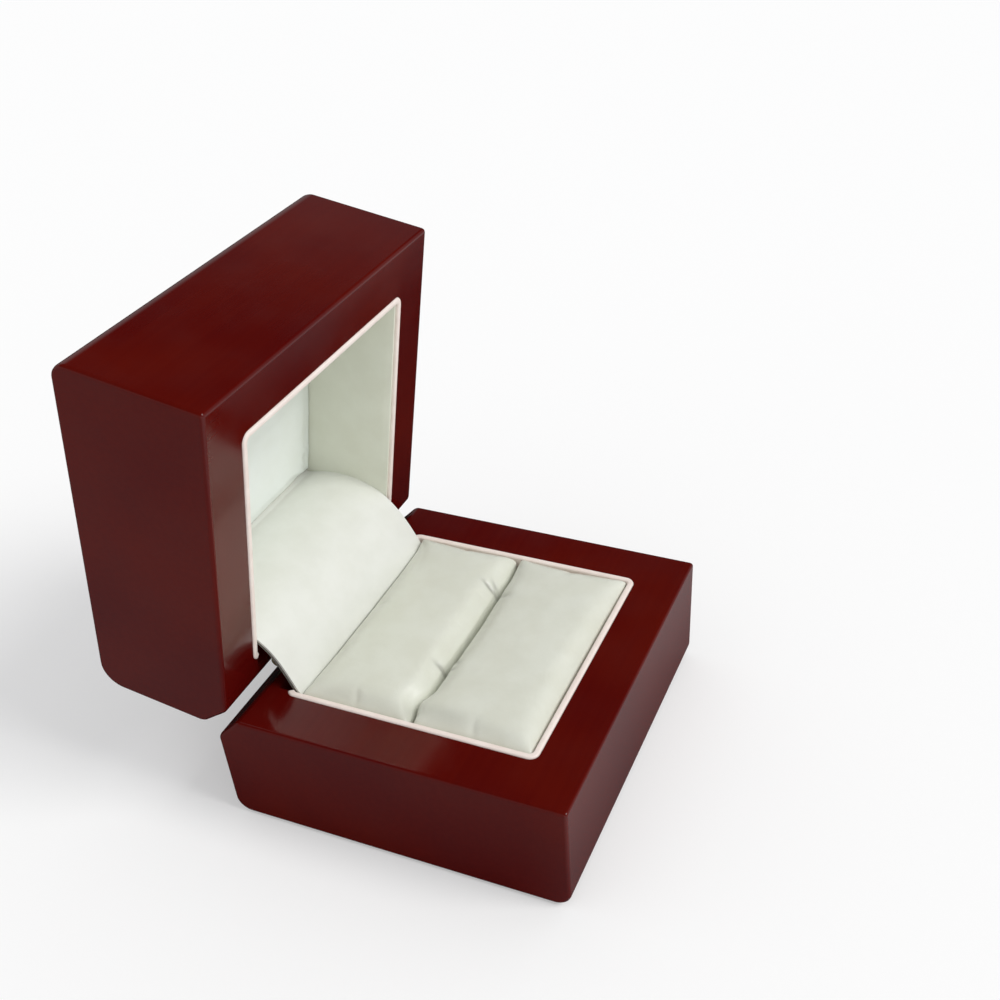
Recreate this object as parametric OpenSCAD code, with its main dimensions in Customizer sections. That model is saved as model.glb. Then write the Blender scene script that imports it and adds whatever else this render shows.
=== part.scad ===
// Ring display box: two lacquered wooden halves on a concealed snap hinge,
// a padded ring insert in the base, a padded ceiling in the lid, and a covered
// card flap that bridges the hinge. Modelled standing open.
// X runs along the hinge, the front faces -Y, and Z is 0 under the base.

/* [Box] */
// Width of the box, along the hinge
box_w = 70; // [62:1:90]
// Depth of the box, front to rear
box_d = 66; // [56:1:86]
// Height of the base half, up to the parting plane
base_h = 24; // [21:0.5:34]
// Height of the lid half, above the parting plane
lid_h = 26; // [22:0.5:36]
// Angle between the halves when the lid rests on its open stop
open_angle = 80; // [76:1:84]
// Radius of the rounded edges under the base
base_edge_r = 3; // [1:0.5:4]
// Radius of the lid's top front edge
lid_front_r = 3; // [1:0.5:4]
// Radius of the lid's top rear edge
lid_rear_r = 4.5; // [1:0.5:5]
// Leg of the 45 degree chamfer on each rear edge
rear_chamfer = 5; // [4.8:0.1:5.4]
// Distance from each lacquered rim to the parting plane
rim_gap = 0.3; // [0.2:0.05:0.5]

/* [Wood around the openings] */
// Wood beside each opening
side_wall = 9.2; // [7:0.2:12]
// Wood in front of each opening
front_wall = 9; // [7:0.2:12]
// Wood behind each opening
rear_wall = 8.8; // [8.7:0.1:9.6]
// Wood under the base tray
floor_t = 5; // [4:0.2:7]
// Wood over the lid tray
roof_t = 4.8; // [4:0.2:7]

/* [Trays and linings] */
// Wall thickness of both trays, which is also the width of their lips
tray_t = 1.2; // [1:0.1:1.5]
// Outer corner radius of both trays
tray_r = 1.8; // [1.3:0.1:3]
// Gap between the two lips when the box is closed
lip_gap = 0.06; // [0.04:0.02:0.1]
// Thickness of the leatherette on the lid's inner walls
lining_t = 0.4; // [0.3:0.1:0.6]
// Depth of the lid's ceiling below the parting plane
ceiling_depth = 18; // [14:0.5:19]

/* [Cushions] */
// Where the ring slot lies, forward or back of the middle
slot_y = 0.2; // [-3:0.1:3]
// Gap between the two cushions at the slot
slot_gap = 0.2; // [0.1:0.05:0.5]
// Height of the cushions' crowns over the parting plane
crown_rise = 0.5; // [0:0.1:1.5]
// Thickness of the leatherette covers
cover_t = 0.6; // [0.4:0.1:0.9]
// Thickness of the card under the cushions
board_t = 1.5; // [1:0.1:2]

/* [Flap] */
// Thickness of the flap's card
flap_card_t = 0.8; // [0.6:0.1:0.9]
// Thickness of the flap's leatherette
flap_cover_t = 0.4; // [0.3:0.1:0.5]
// How far the flap is tucked down behind the rear cushion
flap_tuck = 10; // [6:0.5:12]
// Depth of the crease under the parting plane
flap_crease_z = 1.6; // [1.2:0.1:2.4]
// Slope at which the flap meets the ceiling
flap_end_slope = 18; // [8:1:22]
// How long the flap holds that slope
flap_end_reach = 18; // [14:0.5:19]

/* [Hinge] */
// Length of the hinge
hinge_len = 38; // [34:1:46]
// Outer radius of the knuckles
barrel_r = 1.1; // [1:0.05:1.2]
// Radius of the hinge pin
pin_r = 0.55; // [0.45:0.05:0.6]
// Sheet thickness of the leaves
leaf_t = 0.6; // [0.5:0.05:0.7]
// Depth of the hinge recess in each half, from the parting plane
recess_depth = 3.2; // [3:0.1:3.8]
// Length of the screws in the wood
screw_len = 7; // [5:0.5:8]
// Radius of the screws' shanks
screw_r = 0.6; // [0.5:0.05:0.7]

/* [Felt] */
// Thickness of the felt sheet under the base
felt_t = 1; // [0.6:0.1:1.5]
// How far the felt stands proud of the wood
felt_proud = 0.4; // [0.2:0.1:0.5]
// Margin of bare wood round the felt
felt_margin = 5; // [4.5:0.5:8]

/* [Hidden] */
$fn = 48;
touch = 0.02;
seat_gap = 0.05;
round_gap = 0.05;
cut = 1;

// The pin lies where the knuckles clear both chamfers
barrel_clearance = 0.17;
pin_inset = rear_chamfer - (barrel_r + barrel_clearance) * sqrt(2);
pin_y = box_d / 2 - pin_inset;
part_z = base_h;
box_top = base_h + lid_h;

// Openings, which are the trays' outer outlines
open_x = box_w / 2 - side_wall;
open_front = -box_d / 2 + front_wall;
open_rear = box_d / 2 - rear_wall;
in_x = open_x - tray_t;
in_front = open_front + tray_t;
in_rear = open_rear - tray_t;
tray_floor_z = floor_t;
tray_roof_z = box_top - roof_t;

// Hinge places
shelf_y = box_d / 2 - rear_chamfer - 0.3;
shelf_depth = barrel_r + 0.05;
leaf_front = open_rear + 0.3;
knuckles = 5;
knuckle_gap = 0.2;
knuckle_len = (hinge_len - (knuckles - 1) * knuckle_gap) / knuckles;
leaf_half = hinge_len / 2;
step_y = shelf_y - 0.2 - leaf_t;
screw_y = (leaf_front + step_y) / 2;
screw_xs = [-0.8, -0.12, 0.12, 0.8] * leaf_half;
screw_head_r = 1.1;
screw_head_h = 0.5;
slot_w = 0.35;
slot_d = 0.25;
spring_w = 5;
spring_t = 0.3;
spring_xs = knuckle_len + knuckle_gap;

// Cushions
cushion_z0 = tray_floor_z + tray_t + touch + board_t;
crown_z = part_z + crown_rise;
flap_t = flap_card_t + flap_cover_t;
flap_y = in_rear - 0.1 - flap_t;
cushion_x = in_x - 0.25;
front_cushion_y = [in_front + 0.25, slot_y - slot_gap / 2];
rear_cushion_y = [slot_y + slot_gap / 2, flap_y - 0.15];

// Lid lining and ceiling pad
ceiling_z = part_z + ceiling_depth;
pad_rear = in_rear - lining_t - 0.15 - flap_t - 0.15;
flap_half = in_x - lining_t - 0.15;
tail_len = min(1.6, tray_roof_z - tray_t - ceiling_z - 0.2);

// Turns what is drawn closed to where it stands when the lid is open
module lid_pose() {
    translate([0, pin_y, part_z])
        rotate([-open_angle, 0, 0])
            translate([0, -pin_y, -part_z])
                children();
}

// The same turn for a point in the Y-Z plane
function opened(y, z) = [
    pin_y + (y - pin_y) * cos(open_angle) + (z - part_z) * sin(open_angle),
    part_z - (y - pin_y) * sin(open_angle) + (z - part_z) * cos(open_angle)
];

// Swaps a drawing of the base half for the lid half, across the parting plane
module above() {
    translate([0, 0, part_z])
        mirror([0, 0, 1])
            translate([0, 0, -part_z])
                children();
}

// Extrudes a Y-Z outline along X between two places
module along_x(x0, x1) {
    translate([x0, 0, 0])
        rotate([90, 0, 90])
            linear_extrude(height = x1 - x0)
                children();
}

// Rectangle in the X-Y plane with round corners
module rounded_rect(half_x, y0, y1, r) {
    union() {
        translate([-half_x + r, y0])
            square([2 * (half_x - r), y1 - y0]);
        translate([-half_x, y0 + r])
            square([2 * half_x, y1 - y0 - 2 * r]);
        for (x = [-half_x + r, half_x - r])
            for (y = [y0 + r, y1 - r])
                translate([x, y])
                    circle(r);
    }
}

// Y-Z outline of one half, with its two outer edges rounded and its rear rim chamfered.
// depth is the height from the parting plane to the outer face.
module half_outline(depth, front_r, rear_r) {
    difference() {
        union() {
            translate([-box_d / 2, -depth + front_r])
                square([box_d / 2, depth - front_r - rim_gap]);
            translate([0, -depth + rear_r])
                square([box_d / 2, depth - rear_r - rim_gap]);
            translate([-box_d / 2 + front_r, -depth])
                square([box_d - front_r - rear_r, depth - rim_gap]);
            translate([-box_d / 2 + front_r, -depth + front_r])
                circle(front_r);
            translate([box_d / 2 - rear_r, -depth + rear_r])
                circle(rear_r);
        }
        polygon([
            [box_d / 2 - rear_chamfer, 0],
            [box_d / 2 + cut, 0],
            [box_d / 2 + cut, -rear_chamfer - cut]
        ]);
    }
}

// What is cut out of the rear rim of either half for the hinge and the flap, drawn for the base
module hinge_recess() {
    translate([-leaf_half - 0.2, open_rear - cut, part_z - recess_depth - seat_gap])
        cube([hinge_len + 0.4, shelf_y - open_rear + cut, recess_depth + cut]);
    translate([-leaf_half - 0.2, shelf_y - cut, part_z - shelf_depth])
        cube([hinge_len + 0.4, rear_chamfer + 2 * cut, shelf_depth + cut]);
    translate([-in_x, open_rear - cut, part_z - recess_depth - seat_gap])
        cube([2 * in_x, cut + flap_t + 0.6, recess_depth + cut]);
    for (x = screw_xs)
        translate([x, screw_y, part_z - recess_depth - screw_len])
            cylinder(r = screw_r + touch, h = screw_len + cut);
}

// Base
module base_shell() {
    color([0.29, 0.07, 0.07])
        difference() {
            translate([0, 0, part_z])
                along_x(-box_w / 2, box_w / 2)
                    half_outline(base_h - felt_proud, base_edge_r, base_edge_r);
            translate([0, 0, floor_t])
                linear_extrude(height = base_h)
                    rounded_rect(open_x, open_front, open_rear, tray_r);
            hinge_recess();
            linear_extrude(height = felt_t)
                rounded_rect(box_w / 2 - felt_margin, -box_d / 2 + felt_margin, box_d / 2 - felt_margin, tray_r);
        }
}

module base_felt() {
    color([0.12, 0.1, 0.1])
        linear_extrude(height = felt_t - touch)
            rounded_rect(box_w / 2 - felt_margin - seat_gap, -box_d / 2 + felt_margin + seat_gap,
                box_d / 2 - felt_margin - seat_gap, tray_r);
}

// A tray drawn for the base: a floor at z0, four walls up to the lip, and a low rear wall under the flap
module tray(z0) {
    difference() {
        translate([0, 0, z0 + touch])
            linear_extrude(height = part_z - lip_gap / 2 - z0 - touch)
                rounded_rect(open_x - touch, open_front + touch, open_rear - touch, tray_r);
        translate([0, 0, z0 + touch + tray_t])
            linear_extrude(height = base_h + lid_h)
                rounded_rect(in_x, in_front, in_rear, tray_r - tray_t + 0.2);
        translate([-in_x, in_rear - cut, part_z - recess_depth - seat_gap])
            cube([2 * in_x, rear_wall, recess_depth + cut]);
    }
}

module base_tray() {
    color([0.93, 0.86, 0.82])
        tray(tray_floor_z);
}

module cushion_board() {
    color([0.62, 0.6, 0.56])
        translate([-cushion_x, front_cushion_y[0], tray_floor_z + tray_t + touch])
            cube([2 * cushion_x, rear_cushion_y[1] - front_cushion_y[0], board_t - touch]);
}

// A cushion is a stack of rings with square-round outlines: a side that is drawn in, a shoulder and a crown
cover_points = 56;
inner_points = 28;
squareness = 0.18;
function squared(v) = sign(v) * pow(abs(v), squareness);
function ring(n, half_x, y0, y1, inset, z) = [
    for (i = [0:n - 1])
        let (a = 360 * (i + 0.5) / n, half_y = (y1 - y0) / 2)
            [
                (half_x - inset) * squared(cos(a)),
                (y0 + y1) / 2 + (half_y - min(inset, half_y - 0.6)) * squared(sin(a)),
                z
            ]
];

// Closed solid through a stack of rings
module ring_stack(rings) {
    last = len(rings) - 1;
    n = len(rings[0]);
    points = [for (r = rings) each r];
    sides = [
        for (k = [0:last - 1])
            for (i = [0:n - 1])
                let (j = (i + 1) % n, a = k * n + i, b = k * n + j, c = a + n, d = b + n)
                    each [[a, d, b], [a, c, d]]
    ];
    bottom = [[for (i = [0:n - 1]) i]];
    top = [[for (i = [n - 1:-1:0]) last * n + i]];
    polyhedron(points = points, faces = concat(sides, bottom, top));
}

// Height of a cushion's surface falls from the crown to the shoulder as the inset from its sides falls
shoulder_r = 1.9;
crown_drop = 0.9;
crown_run = 6.6;
function cushion_rings(n, y, skin, foot) = [
    for (z = foot)
        ring(n, cushion_x - skin, y[0] + skin, y[1] - skin, 0.25, z),
    for (s = [[0.55, 0.35], [0.35, 0.7]])
        ring(n, cushion_x - skin, y[0] + skin, y[1] - skin, s[0],
            cushion_z0 + s[1] * (crown_z - crown_drop - shoulder_r - cushion_z0)),
    for (a = [0, 35, 65, 90])
        ring(n, cushion_x - skin, y[0] + skin, y[1] - skin, shoulder_r * (1 - cos(a)),
            crown_z - crown_drop - skin - shoulder_r * (1 - sin(a))),
    for (k = [0.35, 0.65, 1])
        ring(n, cushion_x - skin, y[0] + skin, y[1] - skin, shoulder_r + k * crown_run,
            crown_z - crown_drop - skin + crown_drop * sin(90 * k))
];

module cushion_foam(y) {
    ring_stack(cushion_rings(inner_points, y, cover_t + seat_gap, [cushion_z0 + touch]));
}

module cushion_cover(y) {
    difference() {
        ring_stack(cushion_rings(cover_points, y, 0, [cushion_z0]));
        ring_stack(cushion_rings(inner_points, y, cover_t, [cushion_z0 - cut, cushion_z0]));
    }
}

module front_cushion_foam() {
    color([0.95, 0.9, 0.7])
        cushion_foam(front_cushion_y);
}

module front_cushion_cover() {
    color([0.85, 0.85, 0.8])
        cushion_cover(front_cushion_y);
}

module rear_cushion_foam() {
    color([0.95, 0.9, 0.7])
        cushion_foam(rear_cushion_y);
}

module rear_cushion_cover() {
    color([0.83, 0.84, 0.79])
        cushion_cover(rear_cushion_y);
}

// Flap: from its tuck behind the rear cushion it turns at the crease, arches over both lips,
// and ends in the gap behind the lid's ceiling pad
flap_steps = 16;
flap_start = [flap_y, part_z - flap_crease_z];
flap_end = opened(pad_rear + 0.15, ceiling_z);
flap_controls = [
    flap_start,
    flap_start + [0, 2],
    flap_end - flap_end_reach * [cos(flap_end_slope), -sin(flap_end_slope)],
    flap_end
];
function bezier(p, t) =
    pow(1 - t, 3) * p[0] + 3 * pow(1 - t, 2) * t * p[1] + 3 * (1 - t) * pow(t, 2) * p[2] + pow(t, 3) * p[3];
function bezier_slope(p, t) =
    pow(1 - t, 2) * (p[1] - p[0]) + 2 * (1 - t) * t * (p[2] - p[1]) + pow(t, 2) * (p[3] - p[2]);
function unit(v) = v / norm(v);

// Line of the flap at a depth under its visible face
function flap_line(depth) = [
    flap_start + [depth, -flap_tuck],
    for (i = [0:flap_steps])
        let (t = i / flap_steps, s = unit(bezier_slope(flap_controls, t)))
            bezier(flap_controls, t) + depth * [s[1], -s[0]],
    opened(pad_rear + 0.15 + depth, ceiling_z + tail_len)
];

// Strip of the flap between two depths under its visible face
module flap_strip(top, under, half_x) {
    upper = flap_line(top);
    lower = flap_line(under);
    along_x(-half_x, half_x)
        polygon(concat(upper, [for (i = [len(lower) - 1:-1:0]) lower[i]]));
}

module flap_card() {
    color([0.55, 0.55, 0.52])
        flap_strip(flap_cover_t + touch, flap_t, flap_half - 0.2);
}

module flap_cover() {
    color([0.92, 0.93, 0.89])
        flap_strip(0, flap_cover_t, flap_half);
}

// Hinge leaf drawn for the base: knuckles round the pin, a shelf, a step down and a foot under the screws.
// first is 0 where the leaf has the outer knuckles and 1 where it has the inner ones.
function knuckle_x(i) = -leaf_half + i * (knuckle_len + knuckle_gap);

module leaf(first) {
    foot_z = part_z - recess_depth;
    shelf_z = part_z - barrel_r;
    difference() {
        union() {
            translate([-leaf_half, leaf_front, foot_z])
                cube([hinge_len, step_y + leaf_t - leaf_front, leaf_t]);
            translate([-leaf_half, step_y, foot_z])
                cube([hinge_len, leaf_t, shelf_z + leaf_t - foot_z]);
            for (i = [first:2:knuckles - 1]) {
                translate([knuckle_x(i), step_y, shelf_z])
                    cube([knuckle_len, pin_y - step_y, leaf_t]);
                translate([knuckle_x(i), pin_y, part_z])
                    rotate([0, 90, 0])
                        cylinder(r = barrel_r, h = knuckle_len);
            }
        }
        translate([-leaf_half - cut, pin_y, part_z])
            rotate([0, 90, 0])
                cylinder(r = pin_r + round_gap, h = hinge_len + 2 * cut);
        for (i = [1 - first:2:knuckles - 1])
            translate([knuckle_x(i) - knuckle_gap, step_y - touch, shelf_z - 0.2])
                cube([knuckle_len + 2 * knuckle_gap, pin_y, recess_depth]);
        for (x = screw_xs)
            translate([x, screw_y, foot_z - cut]) {
                cylinder(r = screw_r + round_gap, h = leaf_t + 2 * cut);
                translate([0, 0, cut + leaf_t - screw_head_h])
                    cylinder(r1 = screw_r + round_gap, r2 = screw_head_r + round_gap, h = screw_head_h + touch);
            }
    }
}

module leaf_screws() {
    top_z = part_z - recess_depth + leaf_t;
    for (x = screw_xs)
        translate([x, screw_y, top_z - screw_len])
            difference() {
                union() {
                    cylinder(r = screw_r, h = screw_len);
                    translate([0, 0, screw_len - screw_head_h])
                        cylinder(r1 = screw_r, r2 = screw_head_r, h = screw_head_h);
                }
                translate([-screw_head_r - cut, -slot_w / 2, screw_len - slot_d])
                    cube([2 * (screw_head_r + cut), slot_w, slot_d + cut]);
            }
}

module hinge_base_leaf() {
    color([0.72, 0.62, 0.38])
        leaf(0);
}

module hinge_pin() {
    color([0.7, 0.7, 0.7])
        translate([-leaf_half, pin_y, part_z])
            rotate([0, 90, 0])
                cylinder(r = pin_r, h = hinge_len);
}

module hinge_base_screws() {
    color([0.75, 0.7, 0.5])
        leaf_screws();
}

// Bent blade that lies on the base leaf's foot, clears its step and rises to bear on an inner knuckle
module snap_spring(x) {
    foot = [leaf_front + 0.2, part_z - recess_depth + leaf_t + touch];
    bend = [screw_y, foot[1]];
    over = [step_y - 0.1, part_z - barrel_r - 0.2 + seat_gap];
    tip = [pin_y - barrel_r - 0.5, over[1] + 0.45];
    lift = [0, spring_t];
    color([0.6, 0.62, 0.66])
        along_x(x - spring_w / 2, x + spring_w / 2)
            polygon([
                foot, bend, over, tip, tip + [0.1, 0.5],
                tip + [-0.15, 0.5], tip + [-0.2, spring_t], over + [-0.15, spring_t],
                bend + [-0.15, spring_t], foot + lift
            ]);
}

module snap_spring_left() {
    snap_spring(-spring_xs);
}

module snap_spring_right() {
    snap_spring(spring_xs);
}

// Lid
module lid_shell() {
    color([0.29, 0.07, 0.07])
        lid_pose()
            above()
                difference() {
                    translate([0, 0, part_z])
                        along_x(-box_w / 2, box_w / 2)
                            half_outline(lid_h, lid_front_r, lid_rear_r);
                    translate([0, 0, 2 * part_z - tray_roof_z])
                        linear_extrude(height = lid_h)
                            rounded_rect(open_x, open_front, open_rear, tray_r);
                    hinge_recess();
                }
}

module lid_tray() {
    color([0.93, 0.86, 0.82])
        lid_pose()
            above()
                tray(2 * part_z - tray_roof_z);
}

// Leatherette band on the lid tray's inner walls, low behind the flap
module lid_lining() {
    roof_z = tray_roof_z - tray_t - 2 * touch;
    color([0.9, 0.91, 0.88])
        lid_pose()
            difference() {
                translate([0, 0, part_z + 0.6])
                    linear_extrude(height = roof_z - part_z - 0.6)
                        rounded_rect(in_x - touch, in_front + touch, in_rear - touch, tray_r - tray_t + 0.2);
                translate([0, 0, part_z])
                    linear_extrude(height = lid_h)
                        rounded_rect(in_x - lining_t, in_front + lining_t, in_rear - lining_t, 0.6);
                translate([-in_x, in_rear - lining_t - cut, part_z])
                    cube([2 * in_x, lining_t + 2 * cut, recess_depth + seat_gap]);
            }
}

// The ceiling pad is a thin crowned cushion against the tray's roof
pad_crown = 0.5;
pad_shoulder = 0.8;
pad_run = 9;
pad_x = in_x - lining_t - 0.12;
pad_y = [in_front + lining_t + 0.12, pad_rear];
pad_roof_z = tray_roof_z - tray_t - 2 * touch;
function pad_rings(n, skin, z0) = [
    ring(n, pad_x - skin, pad_y[0] + skin, pad_y[1] - skin, 0.1, z0),
    for (a = [0, 45, 90])
        ring(n, pad_x - skin, pad_y[0] + skin, pad_y[1] - skin, pad_shoulder * (1 - cos(a)),
            part_z - ceiling_depth - skin - pad_shoulder * (1 - sin(a))),
    ring(n, pad_x - skin, pad_y[0] + skin, pad_y[1] - skin, pad_run, part_z - ceiling_depth + pad_crown - skin)
];

module lid_pad_foam() {
    color([0.95, 0.9, 0.7])
        lid_pose()
            above()
                ring_stack(pad_rings(inner_points, cover_t + seat_gap, 2 * part_z - pad_roof_z + touch));
}

module lid_pad_cover() {
    color([0.9, 0.92, 0.88])
        lid_pose()
            above()
                difference() {
                    ring_stack(pad_rings(cover_points, 0, 2 * part_z - pad_roof_z));
                    ring_stack(pad_rings(inner_points, cover_t, 2 * part_z - pad_roof_z - cut));
                }
}

module hinge_lid_leaf() {
    color([0.72, 0.62, 0.38])
        lid_pose()
            above()
                leaf(1);
}

module hinge_lid_screws() {
    color([0.75, 0.7, 0.5])
        lid_pose()
            above()
                leaf_screws();
}

base_shell();
base_felt();
base_tray();
cushion_board();
front_cushion_foam();
front_cushion_cover();
rear_cushion_foam();
rear_cushion_cover();
flap_card();
flap_cover();
hinge_base_leaf();
hinge_pin();
hinge_base_screws();
snap_spring_left();
snap_spring_right();
lid_shell();
lid_tray();
lid_lining();
lid_pad_foam();
lid_pad_cover();
hinge_lid_leaf();
hinge_lid_screws();
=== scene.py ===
"""Looks of the open ring display box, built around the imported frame.

The lacquered halves, the trays, the cushions, the flap, the linings, the felt and the screws are visual
pieces that stand for CAD nodes. The rest of the hinge and the card under the cushions are the CAD nodes
themselves, with finishes. Sizes are in millimetres in the frame's axes until a mesh is made, and in metres
from then on.
"""

import logging
import math
from dataclasses import dataclass
from enum import Enum
from typing import Callable, Iterable, Optional, Sequence, Union

import bmesh
import bpy
import numpy as np
from bpy.types import ID, Material, Mesh, NodeSocket, NodeTree, Object, World
from mathutils import Matrix, Vector, noise


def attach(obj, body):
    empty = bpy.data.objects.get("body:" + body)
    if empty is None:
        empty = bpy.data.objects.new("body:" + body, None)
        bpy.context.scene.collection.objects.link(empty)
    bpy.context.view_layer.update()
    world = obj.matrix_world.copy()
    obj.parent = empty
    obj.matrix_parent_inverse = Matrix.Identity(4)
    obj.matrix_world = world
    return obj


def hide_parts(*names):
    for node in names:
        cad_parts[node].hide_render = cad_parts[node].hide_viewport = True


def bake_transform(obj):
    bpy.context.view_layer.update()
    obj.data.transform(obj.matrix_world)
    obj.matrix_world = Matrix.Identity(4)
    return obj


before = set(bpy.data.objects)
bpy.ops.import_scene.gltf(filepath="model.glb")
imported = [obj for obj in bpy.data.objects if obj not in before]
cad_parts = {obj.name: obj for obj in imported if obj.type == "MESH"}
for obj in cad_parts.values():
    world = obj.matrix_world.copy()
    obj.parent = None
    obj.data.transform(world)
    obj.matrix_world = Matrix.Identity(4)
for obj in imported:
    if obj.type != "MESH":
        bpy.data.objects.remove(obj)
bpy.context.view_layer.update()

LOG = logging.getLogger("ring_box")
MM = 0.001
GAP = 0.02
CREASE = math.radians(50.0)
SIM_SCALE = 20.0
SIM_FRAMES = 20
CLOTH = {
    "quality": 6,
    "mass": 0.25,
    "tension_stiffness": 18.0,
    "compression_stiffness": 12.0,
    "bending_stiffness": 0.6,
    "vertex_group_mass": "held",
    "use_pressure": True,
}
Number = Union[int, float]
Pair = tuple[float, float]
Triple = tuple[float, float, float]


# Geometry of the frame


class Half(Enum):
    """The two halves of the box, by the name of the body each one is."""

    BASE = "base"
    LID = "lid"


@dataclass(frozen=True)
class BoxPlan:
    """Sizes that several pieces share, as the part's source has them, in millimetres."""

    width: float = 70.0
    depth: float = 66.0
    part_z: float = 24.0
    lid_h: float = 26.0
    open_angle: float = 80.0
    pin_y: float = 29.796
    rim_gap: float = 0.3
    chamfer: float = 5.0
    open_x: float = 25.8
    open_front: float = -24.0
    open_rear: float = 24.2
    tray_t: float = 1.2
    lining_t: float = 0.4
    recess: float = 3.2
    ceiling: float = 18.0
    floor_t: float = 5.0
    roof_t: float = 4.8

    @property
    def in_x(self) -> float:
        """Half the width between the trays' inner walls."""
        return self.open_x - self.tray_t

    @property
    def in_front(self) -> float:
        """Where the trays' front walls end."""
        return self.open_front + self.tray_t

    @property
    def in_rear(self) -> float:
        """Where the trays' rear walls begin."""
        return self.open_rear - self.tray_t

    @property
    def roof_z(self) -> float:
        """Height of the lid tray's roof in the closed box, seen from inside."""
        return self.part_z + self.lid_h - self.roof_t - self.tray_t - 2 * GAP

    def swing(self, degrees: float) -> Matrix:
        """Turn about the hinge pin, in millimetres.

        Args:
            degrees: angle about +X; minus the open angle brings a closed lid to where it stands.

        Returns:
            The turn as a 4 by 4 matrix.
        """
        pin = Vector((0.0, self.pin_y, self.part_z))
        turn = Matrix.Rotation(math.radians(degrees), 4, "X")
        return Matrix.Translation(pin) @ turn @ Matrix.Translation(-pin)

    def opened(self, points: np.ndarray) -> np.ndarray:
        """Points of the closed lid, moved to where they stand when it is open."""
        m = np.array(self.swing(-self.open_angle))
        return points @ m[:3, :3].T + m[:3, 3]

    def on_half(self, half: Half, points: np.ndarray) -> np.ndarray:
        """Moves points that are drawn in the base to the half they belong to.

        Args:
            half: the half; the open lid's points are the base's, mirrored in the parting plane and opened.
            points: one row for each.

        Returns:
            The moved points.
        """
        if half is Half.BASE:
            return points
        return self.opened(points * (1.0, 1.0, -1.0) + (0.0, 0.0, 2 * self.part_z))


PLAN = BoxPlan()


# Node trees


def arithmetic(operation: str, swapped: bool = False) -> Callable[["Wire", Union["Wire", Number]], "Wire"]:
    """Makes one of a Wire's arithmetic methods.

    Args:
        operation: the operation of the Math node that it adds.
        swapped: whether the other value goes in first.

    Returns:
        The method.
    """

    def method(wire: "Wire", other: Union["Wire", Number]) -> "Wire":
        """Adds the Math node."""
        values = (other, wire) if swapped else (wire, other)
        return wire.graph.node("ShaderNodeMath", {"operation": operation}, dict(enumerate(values)))

    return method


class Wire:
    """A node's socket that takes part in Python arithmetic; each operation adds a Math node."""

    def __init__(self, graph: "Graph", socket: NodeSocket) -> None:
        """Keeps the socket and the tree it belongs to."""
        self.graph = graph
        self.socket = socket

    __add__ = arithmetic("ADD")
    __radd__ = arithmetic("ADD", swapped=True)
    __sub__ = arithmetic("SUBTRACT")
    __rsub__ = arithmetic("SUBTRACT", swapped=True)
    __mul__ = arithmetic("MULTIPLY")
    __rmul__ = arithmetic("MULTIPLY", swapped=True)
    __truediv__ = arithmetic("DIVIDE")

    def span(self, low: float, high: float, to_low: float = 0.0, to_high: float = 1.0) -> "Wire":
        """Smooth step.

        Args:
            low: value that gives to_low.
            high: value that gives to_high.
            to_low: result at and below low.
            to_high: result at and above high.

        Returns:
            The mapped value.
        """
        return self.graph.node(
            "ShaderNodeMapRange",
            {"interpolation_type": "SMOOTHSTEP"},
            {"Value": self, "From Min": low, "From Max": high, "To Min": to_low, "To Max": to_high},
        )


Feed = Union[Wire, Number, Sequence[float], Sequence[Wire]]


class Graph:
    """A node tree under construction."""

    def __init__(self, tree: NodeTree) -> None:
        """Empties the tree and works in it."""
        self.tree = tree
        self.tree.nodes.clear()

    def node(
        self,
        kind: str,
        settings: Optional[dict] = None,
        feeds: Optional[dict] = None,
        out: Union[int, str] = 0,
    ) -> Wire:
        """Adds any node.

        Args:
            kind: the node's type.
            settings: its properties, set first.
            feeds: what goes into its sockets, by name or number: wires, numbers or vectors.
            out: the output that is wanted, by name or number.

        Returns:
            That output.
        """
        made = self.tree.nodes.new(kind)
        for key, value in (settings or {}).items():
            setattr(made, key, value)
        for key, value in (feeds or {}).items():
            socket = made.inputs[key]
            if isinstance(value, Wire):
                self.tree.links.new(value.socket, socket)
            elif isinstance(value, list) and isinstance(value[0], Wire):
                for wire in value:
                    self.tree.links.new(wire.socket, socket)
            elif isinstance(value, (bool, int, float)):
                socket.default_value = value
            else:
                socket.default_value = (*value, 1.0) if socket.type == "RGBA" else tuple(value)
        return Wire(self, made.outputs[out])

    def over(self, operation: str, *feeds: Feed) -> Wire:
        """A Vector Math operation."""
        return self.node("ShaderNodeVectorMath", {"operation": operation}, dict(enumerate(feeds)), "Vector")

    def scaled(self, vector: Wire, size: Feed) -> Wire:
        """A vector times a value."""
        return self.node("ShaderNodeVectorMath", {"operation": "SCALE"}, {0: vector, "Scale": size}, "Vector")

    def part(self, vector: Wire, axis: str) -> Wire:
        """One component of a vector."""
        return self.node("ShaderNodeSeparateXYZ", None, {0: vector}, axis)

    def vector(self, x: Feed = 0.0, y: Feed = 0.0, z: Feed = 0.0) -> Wire:
        """Joins three values in a vector."""
        return self.node("ShaderNodeCombineXYZ", None, {0: x, 1: y, 2: z})

    def end(self, kind: str, socket: str, wire: Wire) -> None:
        """Adds the tree's output node."""
        made = self.tree.nodes.new(kind)
        self.tree.links.new(wire.socket, made.inputs[socket])


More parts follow.
